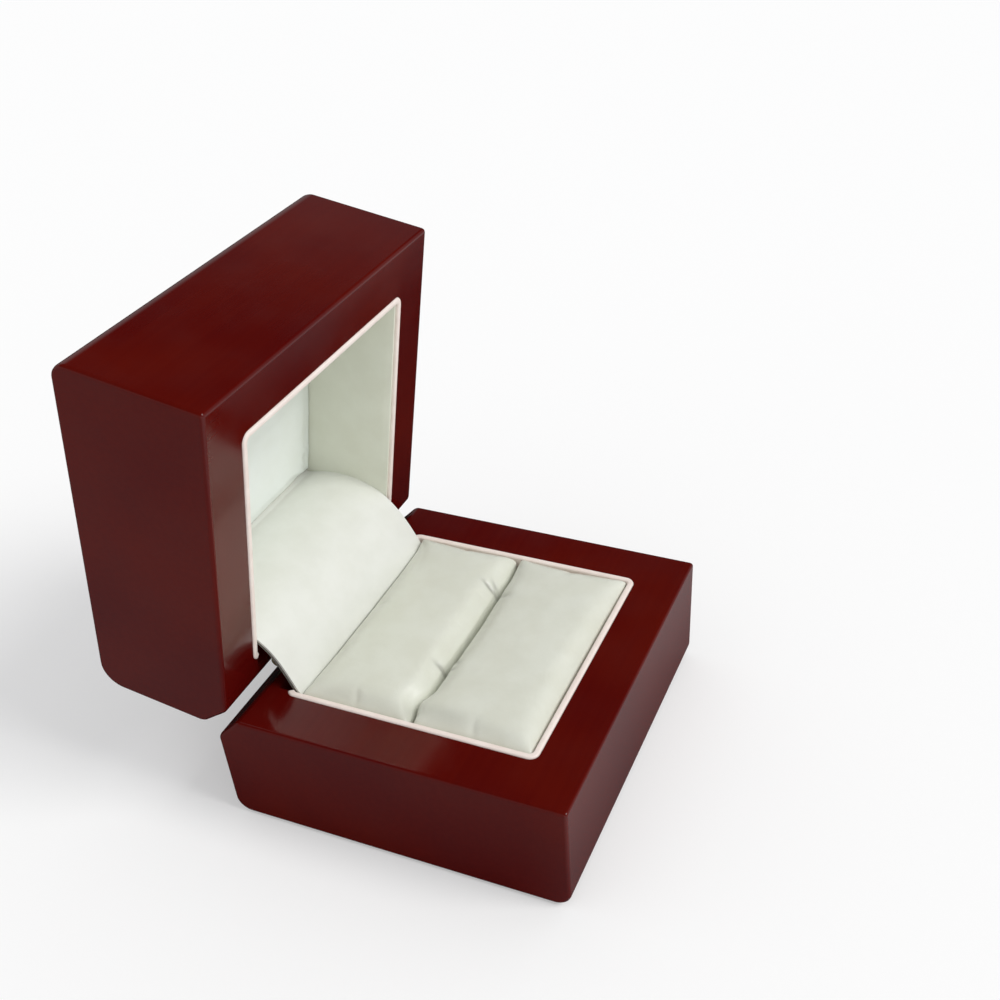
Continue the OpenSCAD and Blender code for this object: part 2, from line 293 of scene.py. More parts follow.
class Paint(Graph):
    """The nodes of a material or of the world."""

    def __init__(self, holder: Union[Material, World]) -> None:
        """Works in the holder's own tree.

        Args:
            holder: the material or world.
        """
        holder.use_nodes = True
        super().__init__(holder.node_tree)
        self.holder = holder

    def place(self, turn: float = 0.0, scale: Sequence[float] = (1.0, 1.0, 1.0)) -> Wire:
        """Object coordinates in millimetres.

        Args:
            turn: degrees about X that bring the piece back to its closed pose.
            scale: further stretch along each axis.

        Returns:
            The coordinates as a vector.
        """
        here = self.node("ShaderNodeTexCoord", out="Object")
        return self.node(
            "ShaderNodeMapping",
            {"vector_type": "POINT"},
            {"Vector": here, "Rotation": (math.radians(turn), 0.0, 0.0), "Scale": [s / MM for s in scale]},
        )

    def noise(self, where: Wire, scale: float, detail: float = 2.0, roughness: float = 0.5) -> Wire:
        """Fractal noise from 0 to 1 around 0.5; scale is in cells per unit of the coordinates."""
        feeds = {"Vector": where, "Scale": scale, "Detail": detail, "Roughness": roughness}
        return self.node("ShaderNodeTexNoise", None, feeds, "Fac")

    def cells(self, where: Wire, scale: float, feature: str = "F1") -> Wire:
        """Distance in a Voronoi pattern."""
        feeds = {"Vector": where, "Scale": scale}
        return self.node("ShaderNodeTexVoronoi", {"feature": feature}, feeds, "Distance")

    def mix(self, share: Feed, a: Feed, b: Feed) -> Wire:
        """Colour a where share is 0, and b where it is 1."""
        settings = {"data_type": "RGBA", "blend_type": "MIX"}
        return self.node("ShaderNodeMix", settings, {0: share, 6: a, 7: b}, 2)

    def bump(self, height: Wire, depth: float, normal: Optional[Wire] = None) -> Wire:
        """Bump from a height of 0 to 1.

        Args:
            height: the height.
            depth: its full depth, in millimetres.
            normal: the normal that it is added to, if not the surface's own.

        Returns:
            The bent normal.
        """
        feeds = {"Height": height, "Distance": depth * MM, "Strength": 1.0}
        if normal is not None:
            feeds["Normal"] = normal
        return self.node("ShaderNodeBump", None, feeds)

    def shader(self, kind: str, colour: Feed, **feeds: Feed) -> Wire:
        """A plain shader, such as Emission, of one colour."""
        return self.node(f"ShaderNode{kind}", None, {"Color": colour, **feeds})

    def either(self, share: Feed, a: Wire, b: Wire) -> Wire:
        """Shader a where share is 0, and b where it is 1."""
        return self.node("ShaderNodeMixShader", None, {0: share, 1: a, 2: b})

    def ray(self, kind: str) -> Wire:
        """Whether a ray is of a kind, Camera or Glossy."""
        return self.node("ShaderNodeLightPath", out=f"Is {kind} Ray")

    def finish(self, **feeds: Feed) -> Material:
        """Ends a material in a Principled shader.

        Args:
            feeds: sockets of the shader, with _ for each space in their names.

        Returns:
            The finished material.
        """
        sockets = {name.replace("_", " "): feed for name, feed in feeds.items()}
        shader = self.node("ShaderNodeBsdfPrincipled", None, sockets)
        self.end("ShaderNodeOutputMaterial", "Surface", shader)
        return self.holder


class Recipe(Graph):
    """A Geometry Nodes tree with named inputs, one of which is the finish."""

    KINDS = {float: "NodeSocketFloat", int: "NodeSocketInt", tuple: "NodeSocketVector"}

    def __init__(self, name: str, **inputs: Union[Number, Triple, Material]) -> None:
        """Starts a tree.

        Args:
            name: the tree's name.
            inputs: its inputs and their values, with _ for each space in their names.
        """
        super().__init__(bpy.data.node_groups.new(name, "GeometryNodeTree"))
        self.values: dict[str, object] = {}
        add = self.tree.interface.new_socket
        add("Geometry", in_out="INPUT", socket_type="NodeSocketGeometry")
        add("Geometry", in_out="OUTPUT", socket_type="NodeSocketGeometry")
        for key, value in inputs.items():
            kind = self.KINDS.get(type(value), "NodeSocketMaterial")
            socket = add(key.replace("_", " "), in_out="INPUT", socket_type=kind)
            self.values[socket.identifier] = value
        self.entry = self.tree.nodes.new("NodeGroupInput")

    def given(self, name: str) -> Wire:
        """One of the tree's inputs."""
        return Wire(self, self.entry.outputs[name])

    def serve(self, geometry: Wire, obj: Object) -> None:
        """Ends the tree in Realize Instances and Set Material, and turns the object's mesh into its result.

        Args:
            geometry: what the tree makes.
            obj: the object whose mesh it starts from.
        """
        real = self.node("GeometryNodeRealizeInstances", None, {"Geometry": geometry})
        feeds = {"Geometry": real, "Material": self.given("Finish")}
        self.end("NodeGroupOutput", "Geometry", self.node("GeometryNodeSetMaterial", None, feeds))
        modifier = obj.modifiers.new(self.tree.name, "NODES")
        modifier.node_group = self.tree
        for identifier, value in self.values.items():
            modifier[identifier] = value
        bake_modifiers(obj)


def new_paint(name: str) -> Paint:
    """Starts a material."""
    return Paint(bpy.data.materials.new(name))


# Finishes


@dataclass(frozen=True)
class Lacquer:
    """Deep red high-gloss lacquer over close-grained wood."""

    deep: Triple = (0.074, 0.0018, 0.0016)
    warm: Triple = (0.1, 0.0046, 0.0018)
    dust: Triple = (0.45, 0.3, 0.22)
    roughness: float = 0.14
    peel_depth: float = 0.0035
    turn: float = 0.0
    name: str = "lacquered_wood"

    def make(self) -> Material:
        """Makes it, with faint grain under the gloss, orange peel and a few specks of dust.

        Returns:
            The material.
        """
        p = new_paint(self.name)
        where = p.place(self.turn)
        grain = p.noise(p.place(self.turn, (0.035, 1.0, 1.0)), 0.9, 4.0, 0.6)
        cloud = p.noise(where, 0.035, 2.0)
        share = grain.span(0.3, 0.72) * 0.25 + cloud.span(0.3, 0.7) * 0.75
        colour = p.mix(share, self.deep, self.warm)
        speck = p.cells(where, 0.055).span(0.0075, 0.011, 1.0, 0.0)
        colour = p.mix(speck * 0.5, colour, self.dust)
        smear = p.noise(where, 0.11, 3.0)
        peel = p.noise(where, 0.4, 1.0)
        return p.finish(
            Base_Color=colour,
            Roughness=smear.span(0.3, 0.75, self.roughness - 0.035, self.roughness + 0.05) + speck * 0.2,
            IOR=1.44,
            Normal=p.bump(peel + speck * 0.8, self.peel_depth),
        )


@dataclass(frozen=True)
class Leatherette:
    """Pearl satin leatherette with a very fine pebble and soft mottling."""

    light: Triple = (0.785, 0.795, 0.75)
    shade: Triple = (0.735, 0.745, 0.69)
    roughness: float = 0.38
    pebble_depth: float = 0.012
    swell_depth: float = 0.07
    gloss_ior: float = 1.46
    # Painted shade: these darken the colour in the puckers' creases, as shade falls there.
    crease_shaded: bool = False
    crease_shade_share: float = 0.6
    crease_shade_dark: float = 0.3
    turn: float = 0.0
    name: str = "pearl_leatherette"

    def make(self) -> Material:
        """Makes it, with painted shade that darkens the colour in the puckers' creases where the piece
        carries them as an attribute.

        Returns:
            The material.
        """
        p = new_paint(self.name)
        where = p.place(self.turn)
        mottle = p.noise(where, 0.16, 3.0, 0.55)
        fine = p.noise(where, 2.2, 2.0)
        share = mottle.span(0.3, 0.72) * 0.75 + fine * 0.25
        pebble = p.cells(where, 3.4, "SMOOTH_F1") * 0.6 + p.noise(where, 5.5, 2.0) * 0.4
        soft = p.noise(where, 0.32, 2.0)
        normal = p.bump(pebble, self.pebble_depth)
        colour = p.mix(share, self.shade, self.light)
        # Painted shade: the colour darkens in the puckers' dents, which the piece marks with an attribute, as
        # shade would fall in creases.
        if self.crease_shaded:
            gather = p.node("ShaderNodeAttribute", {"attribute_name": "gather"}, out="Fac")
            dark = tuple(c * self.crease_shade_dark for c in self.shade)
            colour = p.mix(gather * self.crease_shade_share, colour, dark)
        return p.finish(
            Base_Color=colour,
            Roughness=fine.span(0.25, 0.8, self.roughness - 0.05, self.roughness + 0.07),
            IOR=self.gloss_ior,
            Sheen_Weight=0.12,
            Sheen_Roughness=0.35,
            Normal=p.bump(soft, self.swell_depth, normal),
        )


@dataclass(frozen=True)
class TrayPlastic:
    """Thin cream moulding with a satin lip."""

    light: Triple = (0.93, 0.83, 0.77)
    shade: Triple = (0.88, 0.76, 0.7)
    roughness: Pair = (0.38, 0.5)
    relief: float = 0.03
    turn: float = 0.0
    name: str = "tray_plastic"

    def make(self) -> Material:
        """Makes it.

        Returns:
            The material.
        """
        p = new_paint(self.name)
        where = p.place(self.turn)
        drift = p.noise(where, 0.35, 3.0)
        fine = p.noise(where, 3.0, 2.0)
        return p.finish(
            Base_Color=p.mix(drift.span(0.3, 0.7), self.shade, self.light),
            Roughness=fine.span(0.3, 0.7, *self.roughness),
            IOR=1.48,
            Normal=p.bump(drift * 0.6 + fine * 0.4, self.relief),
        )


@dataclass(frozen=True)
class Card:
    """Grey board with short fibres and dark flecks."""

    colour: Triple = (0.24, 0.23, 0.2)
    fleck_colour: Triple = (0.11, 0.09, 0.07)
    roughness: Pair = (0.82, 0.95)
    fibre_depth: float = 0.05
    name: str = "grey_card"

    def make(self) -> Material:
        """Makes it.

        Returns:
            The material.
        """
        p = new_paint(self.name)
        fibre = p.noise(p.place(0.0, (0.5, 2.5, 2.5)), 1.2, 4.0, 0.65)
        fleck = p.noise(p.place(), 2.4, 2.0).span(0.6, 0.72)
        dark = tuple(c * 0.7 for c in self.colour)
        pale = tuple(min(1.0, c * 1.35) for c in self.colour)
        plain = p.mix(fibre.span(0.3, 0.7), dark, pale)
        return p.finish(
            Base_Color=p.mix(fleck * 0.6, plain, self.fleck_colour),
            Roughness=fibre.span(0.2, 0.8, *self.roughness),
            Normal=p.bump(fibre, self.fibre_depth),
        )


@dataclass(frozen=True)
class Felt:
    """Short-napped felt."""

    colour: Triple = (0.022, 0.014, 0.015)
    roughness: Pair = (0.88, 0.97)
    nap_depth: float = 0.16
    name: str = "felt"

    def make(self) -> Material:
        """Makes it.

        Returns:
            The material.
        """
        p = new_paint(self.name)
        where = p.place()
        nap = p.noise(where, 1.9, 5.0, 0.7)
        tuft = p.noise(where, 0.5, 3.0)
        pale = tuple(c * 2.1 for c in self.colour)
        return p.finish(
            Base_Color=p.mix(nap.span(0.3, 0.75) * 0.7 + tuft.span(0.3, 0.7) * 0.3, self.colour, pale),
            Roughness=tuft.span(0.2, 0.8, *self.roughness),
            Sheen_Weight=0.35,
            Sheen_Roughness=0.5,
            Normal=p.bump(nap, self.nap_depth),
        )


@dataclass(frozen=True)
class HingeMetal:
    """Drawn sheet metal, with its lines along X and dull spots."""

    light: Triple = (0.44, 0.36, 0.2)
    dull: Triple = (0.24, 0.18, 0.1)
    roughness: float = 0.34
    line_depth: float = 0.012
    name: str = "hinge_metal"

    def make(self) -> Material:
        """Makes it.

        Returns:
            The material.
        """
        p = new_paint(self.name)
        lines = p.noise(p.place(0.0, (0.12, 3.5, 3.5)), 1.6, 3.0, 0.6)
        spots = p.noise(p.place(), 0.7, 4.0, 0.6).span(0.5, 0.74)
        return p.finish(
            Base_Color=p.mix(spots, self.light, self.dull),
            Metallic=1.0,
            Roughness=lines.span(0.25, 0.75, self.roughness - 0.08, self.roughness + 0.1) + spots * 0.18,
            Normal=p.bump(lines, self.line_depth),
        )


# Meshes


def add_object(name: str, data: ID) -> Object:
    """Links a new object.

    Args:
        name: its name.
        data: the mesh, lamp or camera that it holds.

    Returns:
        The object.
    """
    obj = bpy.data.objects.new(name, data)
    bpy.context.scene.collection.objects.link(obj)
    return obj


def shade_smooth(mesh: Mesh) -> None:
    """Shades all of a mesh's faces smooth."""
    mesh.polygons.foreach_set("use_smooth", [True] * len(mesh.polygons))


def from_arrays(name: str, points: np.ndarray, faces: Iterable[Sequence[int]]) -> Object:
    """Makes an object from points in millimetres.

    Args:
        name: the piece's name.
        points: one row for each vertex.
        faces: vertex numbers of each face.

    Returns:
        The object, smooth shaded.
    """
    mesh = bpy.data.meshes.new(name)
    mesh.from_pydata((np.asarray(points, float) * MM).tolist(), [], [list(map(int, f)) for f in faces])
    mesh.validate()
    shade_smooth(mesh)
    mesh.update()
    return add_object(name, mesh)


def points_of(mesh: Mesh) -> np.ndarray:
    """Reads a mesh's vertices.

    Args:
        mesh: the mesh.

    Returns:
        One row for each, in millimetres.
    """
    co = np.zeros(len(mesh.vertices) * 3)
    mesh.vertices.foreach_get("co", co)
    return co.reshape(-1, 3) / MM


def set_points(obj: Object, points: np.ndarray) -> None:
    """Moves the object's vertices to points in millimetres."""
    obj.data.vertices.foreach_set("co", (points * MM).ravel())
    obj.data.update()


def bake_modifiers(obj: Object) -> None:
    """Replaces the object's mesh by what its modifiers make of it, and removes them.

    Args:
        obj: the object.
    """
    bpy.context.view_layer.update()
    depsgraph = bpy.context.evaluated_depsgraph_get()
    mesh = bpy.data.meshes.new_from_object(obj.evaluated_get(depsgraph), depsgraph=depsgraph)
    mesh.name = obj.name
    old = obj.data
    obj.modifiers.clear()
    obj.data = mesh
    bpy.data.meshes.remove(old)


def dress(obj: Object, material: Material) -> None:
    """Gives the whole object one material.

    Args:
        obj: the object.
        material: its finish.
    """
    obj.data.materials.clear()
    obj.data.materials.append(material)
    for polygon in obj.data.polygons:
        polygon.material_index = 0


def point_outwards(obj: Object) -> None:
    """Recalculates a closed mesh's normals.

    Args:
        obj: the object that holds it.
    """
    bm = bmesh.new()
    bm.from_mesh(obj.data)
    bmesh.ops.recalc_face_normals(bm, faces=bm.faces)
    bm.to_mesh(obj.data)
    bm.free()


def merged_copy(node: str, name: str) -> Object:
    """Copies a CAD node's mesh, merges its doubles and joins its flat faces.

    Args:
        node: the CAD node.
        name: the new piece's name.

    Returns:
        The copy, as an object of its own.
    """
    mesh = bpy.data.meshes.new(name)
    bm = bmesh.new()
    bm.from_mesh(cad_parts[node].data)
    bmesh.ops.remove_doubles(bm, verts=bm.verts, dist=0.002 * MM)
    bmesh.ops.dissolve_limit(bm, angle_limit=math.radians(0.8), verts=bm.verts, edges=bm.edges)
    bm.to_mesh(mesh)
    bm.free()
    return add_object(name, mesh)


EdgeTest = Callable[[Vector, Vector], bool]


def ease_edges(obj: Object, radius: float, wanted: EdgeTest, segments: int, sharp: float = 25.0) -> int:
    """Rounds sharp edges of an object.

    Args:
        obj: the object, in the frame's axes.
        radius: how far the rounding reaches from each edge, in millimetres.
        wanted: takes an edge's middle and direction, in millimetres, and says whether to round it.
        segments: faces across each rounding.
        sharp: least angle between an edge's faces, in degrees.

    Returns:
        How many edges were rounded.
    """
    bm = bmesh.new()
    bm.from_mesh(obj.data)
    chosen = []
    for edge in bm.edges:
        if len(edge.link_faces) == 2 and edge.calc_face_angle(0.0) > math.radians(sharp):
            middle = (edge.verts[0].co + edge.verts[1].co) / (2 * MM)
            if wanted(middle, (edge.verts[1].co - edge.verts[0].co).normalized()):
                chosen.append(edge)
    bmesh.ops.bevel(
        bm,
        geom=chosen,
        offset=radius * MM,
        offset_type="OFFSET",
        segments=segments,
        profile=0.5,
        affect="EDGES",
        clamp_overlap=False,
    )
    bmesh.ops.remove_doubles(bm, verts=bm.verts, dist=0.001 * MM)
    bm.to_mesh(obj.data)
    bm.free()
    return len(chosen)


def even_shading(obj: Object) -> None:
    """Shades smooth, with normals that the large flat faces decide.

    Args:
        obj: the object.
    """
    shade_smooth(obj.data)
    weighted = obj.modifiers.new("weighted", "WEIGHTED_NORMAL")
    weighted.mode = "FACE_AREA"
    weighted.weight = 100
    weighted.keep_sharp = True
    bake_modifiers(obj)


def grid_faces(rows: int, columns: int) -> list[tuple[int, int, int, int]]:
    """Quads of a grid whose vertices run row by row, with its last column joined to the first.

    Args:
        rows: how many rows of vertices.
        columns: how many in each.

    Returns:
        Vertex numbers of each face.
    """
    steps = [(c, (c + 1) % columns) for c in range(columns)]
    starts = [(r * columns, (r + 1) * columns) for r in range(rows - 1)]
    return [(low + a, low + b, high + b, high + a) for low, high in starts for a, b in steps]


def wave(x: np.ndarray, seed: float, pitch: float, y: Union[np.ndarray, float] = 0.0) -> np.ndarray:
    """Smooth noise along x, from about -1 to 1.

    Args:
        x: places in millimetres.
        seed: which of the noise's tracks to follow.
        pitch: millimetres between its swells.
        y: a second coordinate in millimetres.

    Returns:
        One value for each place.
    """
    ys = np.broadcast_to(np.asarray(y, float), np.shape(x))
    places = zip(np.ravel(x), np.ravel(ys))
    return np.array([noise.noise(Vector((a / pitch, b / pitch, seed))) * 2.0 for a, b in places])


def ramp(values: np.ndarray) -> np.ndarray:
    """Values cut off below 0 and above 1."""
    return np.clip(values, 0.0, 1.0)


def edge_curve(gap: np.ndarray, reach: float, depth: float) -> np.ndarray:
    """A curve that grows from 0, at its reach from an edge, to its depth at the edge."""
    return depth * ramp((reach - gap) / reach) ** 2


def held_between(values: np.ndarray, low: float, high: float, ease: float = 0.25) -> np.ndarray:
    """Keeps values between two bounds, and eases those that come near them.

    Args:
        values: places along one axis, in millimetres.
        low: lower bound.
        high: upper bound.
        ease: how far inside a bound its effect begins.

    Returns:
        The held values.
    """
    over = np.clip(values - (high - ease), 0.0, None)
    under = np.clip((low + ease) - values, 0.0, None)
    held = np.clip(values, low + ease, high - ease)
    return held + ease * (1.0 - np.exp(-over / ease)) - ease * (1.0 - np.exp(-under / ease))


def rounded_outline(
    half_x: float, y0: float, y1: float, radius: float, arc_steps: int, side_steps: int
) -> np.ndarray:
    """Points round a rectangle with round corners, each with its outward direction.

    Args:
        half_x: half its width.
        y0: its front.
        y1: its rear.
        radius: of its corners.
        arc_steps: steps round each corner.
        side_steps: steps along each side.

    Returns:
        Rows of x, y, outward x and outward y, which start at the front right corner and run to the rear.
    """
    centres = [(half_x - radius, y0 + radius), (half_x - radius, y1 - radius)]
    centres += [(-half_x + radius, y1 - radius), (-half_x + radius, y0 + radius)]
    rows = []
    for i, (cx, cy) in enumerate(centres):
        arc = np.radians(np.linspace(90 * i - 90, 90 * i, arc_steps + 1))
        rows.append(np.c_[cx + radius * np.cos(arc), cy + radius * np.sin(arc), np.cos(arc), np.sin(arc)])
        turn = math.radians(90 * i)
        nx, ny = centres[(i + 1) % 4]
        target = np.array([nx + radius * math.cos(turn), ny + radius * math.sin(turn)])
        share = np.linspace(0, 1, side_steps + 1)[1:-1, None]
        side = rows[-1][-1, :2] * (1 - share) + target * share
        rows.append(np.c_[side, np.full(len(side), math.cos(turn)), np.full(len(side), math.sin(turn))])
    return np.vstack(rows)


def rounded_block(
    name: str, low: Sequence[float], high: Sequence[float], radius: float, wanted: Callable[[float], bool]
) -> Object:
    """A block with round edges, as a start for a padded piece.

    Args:
        name: the piece's name.
        low: its lowest corner, in millimetres.
        high: its highest corner.
        radius: of its round edges.
        wanted: takes the height of an edge's middle, from 0 to 1, and says whether to round it.

    Returns:
        The block as an object.
    """
    bm = bmesh.new()
    bmesh.ops.create_cube(bm, size=1.0)
    rounded = [e for e in bm.edges if wanted(sum(v.co.z for v in e.verts) / 2 + 0.5)]
    for v in bm.verts:
        v.co = [(a + (b - a) * (c + 0.5)) * MM for a, b, c in zip(low, high, v.co)]
    bmesh.ops.bevel(
        bm, geom=rounded, offset=radius * MM, segments=4, profile=0.5, affect="EDGES", clamp_overlap=True
    )
    mesh = bpy.data.meshes.new(name)
    bm.to_mesh(mesh)
    bm.free()
    return add_object(name, mesh)


def blown_out(obj: Object, pressure: float, held: np.ndarray) -> np.ndarray:
    """Runs the Cloth simulation on an enlarged copy of a closed mesh, with air inside and no gravity.

    Args:
        obj: the object that holds the mesh.
        pressure: the simulation's pressure.
        held: which points stay where they are.

    Returns:
        How far each point moves, in millimetres.
    """
    scene = bpy.context.scene
    rest = points_of(obj.data)
    centre = rest.mean(0)
    big = add_object(obj.name + "_sim", obj.data.copy())
    set_points(big, (rest - centre) * SIM_SCALE)
    group = big.vertex_groups.new(name=CLOTH["vertex_group_mass"])
    group.add([int(i) for i in np.nonzero(held)[0]], 1.0, "REPLACE")
    cloth = big.modifiers.new("cloth", "CLOTH")
    for key, value in CLOTH.items():
        setattr(cloth.settings, key, value)
    cloth.settings.uniform_pressure_force = pressure
    cloth.settings.effector_weights.gravity = 0.0
    for step in range(SIM_FRAMES):
        scene.frame_set(step + 1)
    depsgraph = bpy.context.evaluated_depsgraph_get()
    swollen = big.evaluated_get(depsgraph).to_mesh()
    shift = points_of(swollen) / SIM_SCALE + centre - rest
    big.modifiers.clear()
    mesh = big.data
    bpy.data.objects.remove(big)
    bpy.data.meshes.remove(mesh)
    scene.frame_set(1)
    return shift


def puff(
    obj: Object, voxel: float, pressure: float, cap: Triple, pinned: Callable[[np.ndarray], np.ndarray]
) -> None:
    """Swells a padded shape as air under its cover would, and refines its mesh.

    Args:
        obj: a closed mesh in the frame's axes.
        voxel: size of the even mesh it is rebuilt with, in millimetres.
        pressure: the simulation's pressure.
        cap: most that a point may move along each axis, in millimetres.
        pinned: takes the points in millimetres and says which stay where they are.
    """
    remesh = obj.modifiers.new("even", "REMESH")
    remesh.mode = "VOXEL"
    remesh.voxel_size = voxel * MM
    bake_modifiers(obj)
    rest = points_of(obj.data)
    shift = blown_out(obj, pressure, pinned(rest))
    limit = np.asarray(cap, float)
    set_points(obj, rest + limit * np.tanh(shift / limit))
    LOG.info("%s swelled by up to %.2f mm", obj.name, float(np.abs(shift).max()))
    finer = obj.modifiers.new("finer", "SUBSURF")
    finer.levels = finer.render_levels = 1
    bake_modifiers(obj)
    shade_smooth(obj.data)


def stand_for(obj: Object, finish: Material, body: Half, slot: str, *nodes: str) -> None:
    """Dresses a finished piece, rides it on its half and lets it stand for CAD nodes.

    Args:
        obj: the piece.
        finish: its material.
        body: the half it rides on.
        slot: the record's material slot that the finish belongs to; not used.
        nodes: the CAD nodes.
    """
    dress(obj, finish)
    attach(obj, body.value)
    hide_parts(*nodes)
    faces = len(obj.data.polygons)
    LOG.info("%s rides on %s and stands for %s, %d faces", obj.name, body.value, ", ".join(nodes), faces)


# The lacquered halves


@dataclass
class WoodHalf:
    """One lacquered half of the box, with its edges eased as a sanded and sprayed block has them."""

    half: Half
    arris: float = 0.7
    pocket_arris: float = 0.15
    chamfer_ease: float = 0.75
    play: float = 0.05
    corner_play: float = 0.2
    hinge_reach: float = 1.9

    def closed(self, middle: Vector) -> Vector:
        """An edge's middle, in the closed box."""
        return PLAN.swing(PLAN.open_angle) @ middle if self.half is Half.LID else middle

    def on_chamfer(self, middle: Vector, along: Vector) -> bool:
        """Whether an edge runs along one of the two corners of the rear chamfer.

        Args:
            middle: the edge's middle.
            along: its direction.

        Returns:
            True for such an edge.
        """
        m = self.closed(middle)
        rear = PLAN.depth / 2
        off_plane = abs(m.z - PLAN.part_z)
        upper = abs(m.y - (rear - PLAN.chamfer)) < 2 * PLAN.rim_gap and off_plane < 2 * PLAN.rim_gap
        lower = abs(m.y - rear) < self.corner_play and abs(off_plane - PLAN.chamfer) < PLAN.rim_gap
        return abs(along.x) > 0.99 and (upper or lower)

    def on_outside(self, middle: Vector, _along: Vector) -> bool:
        """Whether an edge belongs to the outer surface, away from the hinge's recess."""
        m = self.closed(middle)
        return abs(abs(m.x) - PLAN.width / 2) < self.play or m.y < -PLAN.depth / 2 + self.play

    def on_pocket(self, middle: Vector, _along: Vector) -> bool:
        """Whether an edge belongs to the opening's rim, in front of the hinge's recess.

        Args:
            middle: the edge's middle.
            _along: its direction, which doesn't matter here.

        Returns:
            True for such an edge.
        """
        m = self.closed(middle)
        at_rim = abs(abs(m.z - PLAN.part_z) - PLAN.rim_gap) < self.play
        in_front = PLAN.open_front - self.play < m.y < PLAN.open_rear - self.hinge_reach
        return at_rim and abs(m.x) < PLAN.open_x + self.play and in_front

    def build(self, finish: Material) -> None:
        """Makes the half and puts it in the frame.

        Args:
            finish: its lacquer.
        """
        node = f"{self.half.value}_shell"
        obj = merged_copy(node, f"{self.half.value}_box")
        eased = ease_edges(obj, self.chamfer_ease, self.on_chamfer, 4)
        eased += ease_edges(obj, self.arris, self.on_outside, 3)
        eased += ease_edges(obj, self.pocket_arris, self.on_pocket, 2)
        even_shading(obj)
        stand_for(obj, finish, self.half, "lacquered_wood", node)
        LOG.info("%s: %d edges eased", obj.name, eased)


@dataclass
class LipTray:
    """One tray, whose rounded lip shows round the opening and ends in a bead at both rear corners."""

    half: Half
    foot_z: float
    lip_round: float = 0.4
    lip_drop: float = 0.03
    corner: float = 1.8
    inner_corner: float = 0.8
    fillet: float = 0.4
    arc_steps: int = 14
    side_steps: int = 24
    bead: Pair = (50.0, 84.0)

    def lip_end(self) -> np.ndarray:
        """How far the lip has ended at each point of the outline.

        Returns:
            Values from 0 to 1, which rise over the bead's angles at the rear corners.
        """
        angle = np.linspace(0, 90, self.arc_steps + 1)
        fall = 1 - np.sqrt(1 - ramp((angle - self.bead[0]) / (self.bead[1] - self.bead[0])) ** 2)
        none, full = np.zeros(self.side_steps - 1), np.ones(self.side_steps - 1)
        return np.r_[0 * angle, none, fall, full, fall[::-1], none, 0 * angle, none]

    def profile(self) -> list[tuple[float, np.ndarray]]:
        """The wall's section, from its outer foot over the lip to the floor inside.

        Returns:
            Rows of a share of the way from the outer to the inner outline, and the heights along them.
        """
        top = PLAN.part_z - self.lip_drop - self.lip_end() * (PLAN.recess + GAP)
        foot = self.foot_z + GAP + 0.0 * top
        floor = foot + PLAN.tray_t
        r, share, inset = self.lip_round, self.lip_round / PLAN.tray_t, self.fillet / PLAN.tray_t
        arc = np.radians(np.linspace(0, 90, 6))
        rows = [(0.0, foot)]
        rows += [(share * (1 - math.cos(a)), top - r + r * math.sin(a)) for a in arc]
        rows += [(1 - share * (1 - math.cos(a)), top - r + r * math.sin(a)) for a in arc[::-1]]
        rows += [(1 + inset * (1 - math.cos(a)), floor + self.fillet * (1 - math.sin(a))) for a in arc[::2]]
        return rows

    def build(self, finish: Material) -> None:
        """Makes the tray and puts it in the frame.

        Args:
            finish: its plastic.
        """
        steps = (self.arc_steps, self.side_steps)
        outside = (PLAN.open_x - GAP, PLAN.open_front + GAP, PLAN.open_rear - GAP, self.corner)
        outer = rounded_outline(*outside, *steps)[:, :2]
        inner = rounded_outline(PLAN.in_x, PLAN.in_front, PLAN.in_rear, self.inner_corner, *steps)[:, :2]
        rows = self.profile()
        points = np.vstack([np.c_[outer + (inner - outer) * share, z] for share, z in rows])
        n = len(outer)
        faces: list[Sequence[int]] = list(grid_faces(len(rows), n))
        faces += [range(n - 1, -1, -1), range((len(rows) - 1) * n, len(rows) * n)]
        obj = from_arrays(f"{self.half.value}_lip_tray", PLAN.on_half(self.half, points), faces)
        point_outwards(obj)
        even_shading(obj)
        stand_for(obj, finish, self.half, "tray_plastic", f"{self.half.value}_tray")


# Padded pieces


@dataclass(frozen=True)
class Pucker:
    """A small puckered dent in a cover: its place, its length and width, its direction and its depth."""

    x: float
    y: float
    length: float
    width: float
    angle: float
    depth: float

    def dent(self, points: np.ndarray) -> np.ndarray:
        """Works out the dent.

        Args:
            points: places on the cover.

        Returns:
            How far each one sinks, in millimetres.
        """
        a = math.radians(self.angle)
        dx, dy = points[:, 0] - self.x, points[:, 1] - self.y
        along = dx * math.cos(a) + dy * math.sin(a)
        across = -dx * math.sin(a) + dy * math.cos(a)
        return self.depth * np.exp(-((along / self.length) ** 2) - (across / self.width) ** 2)


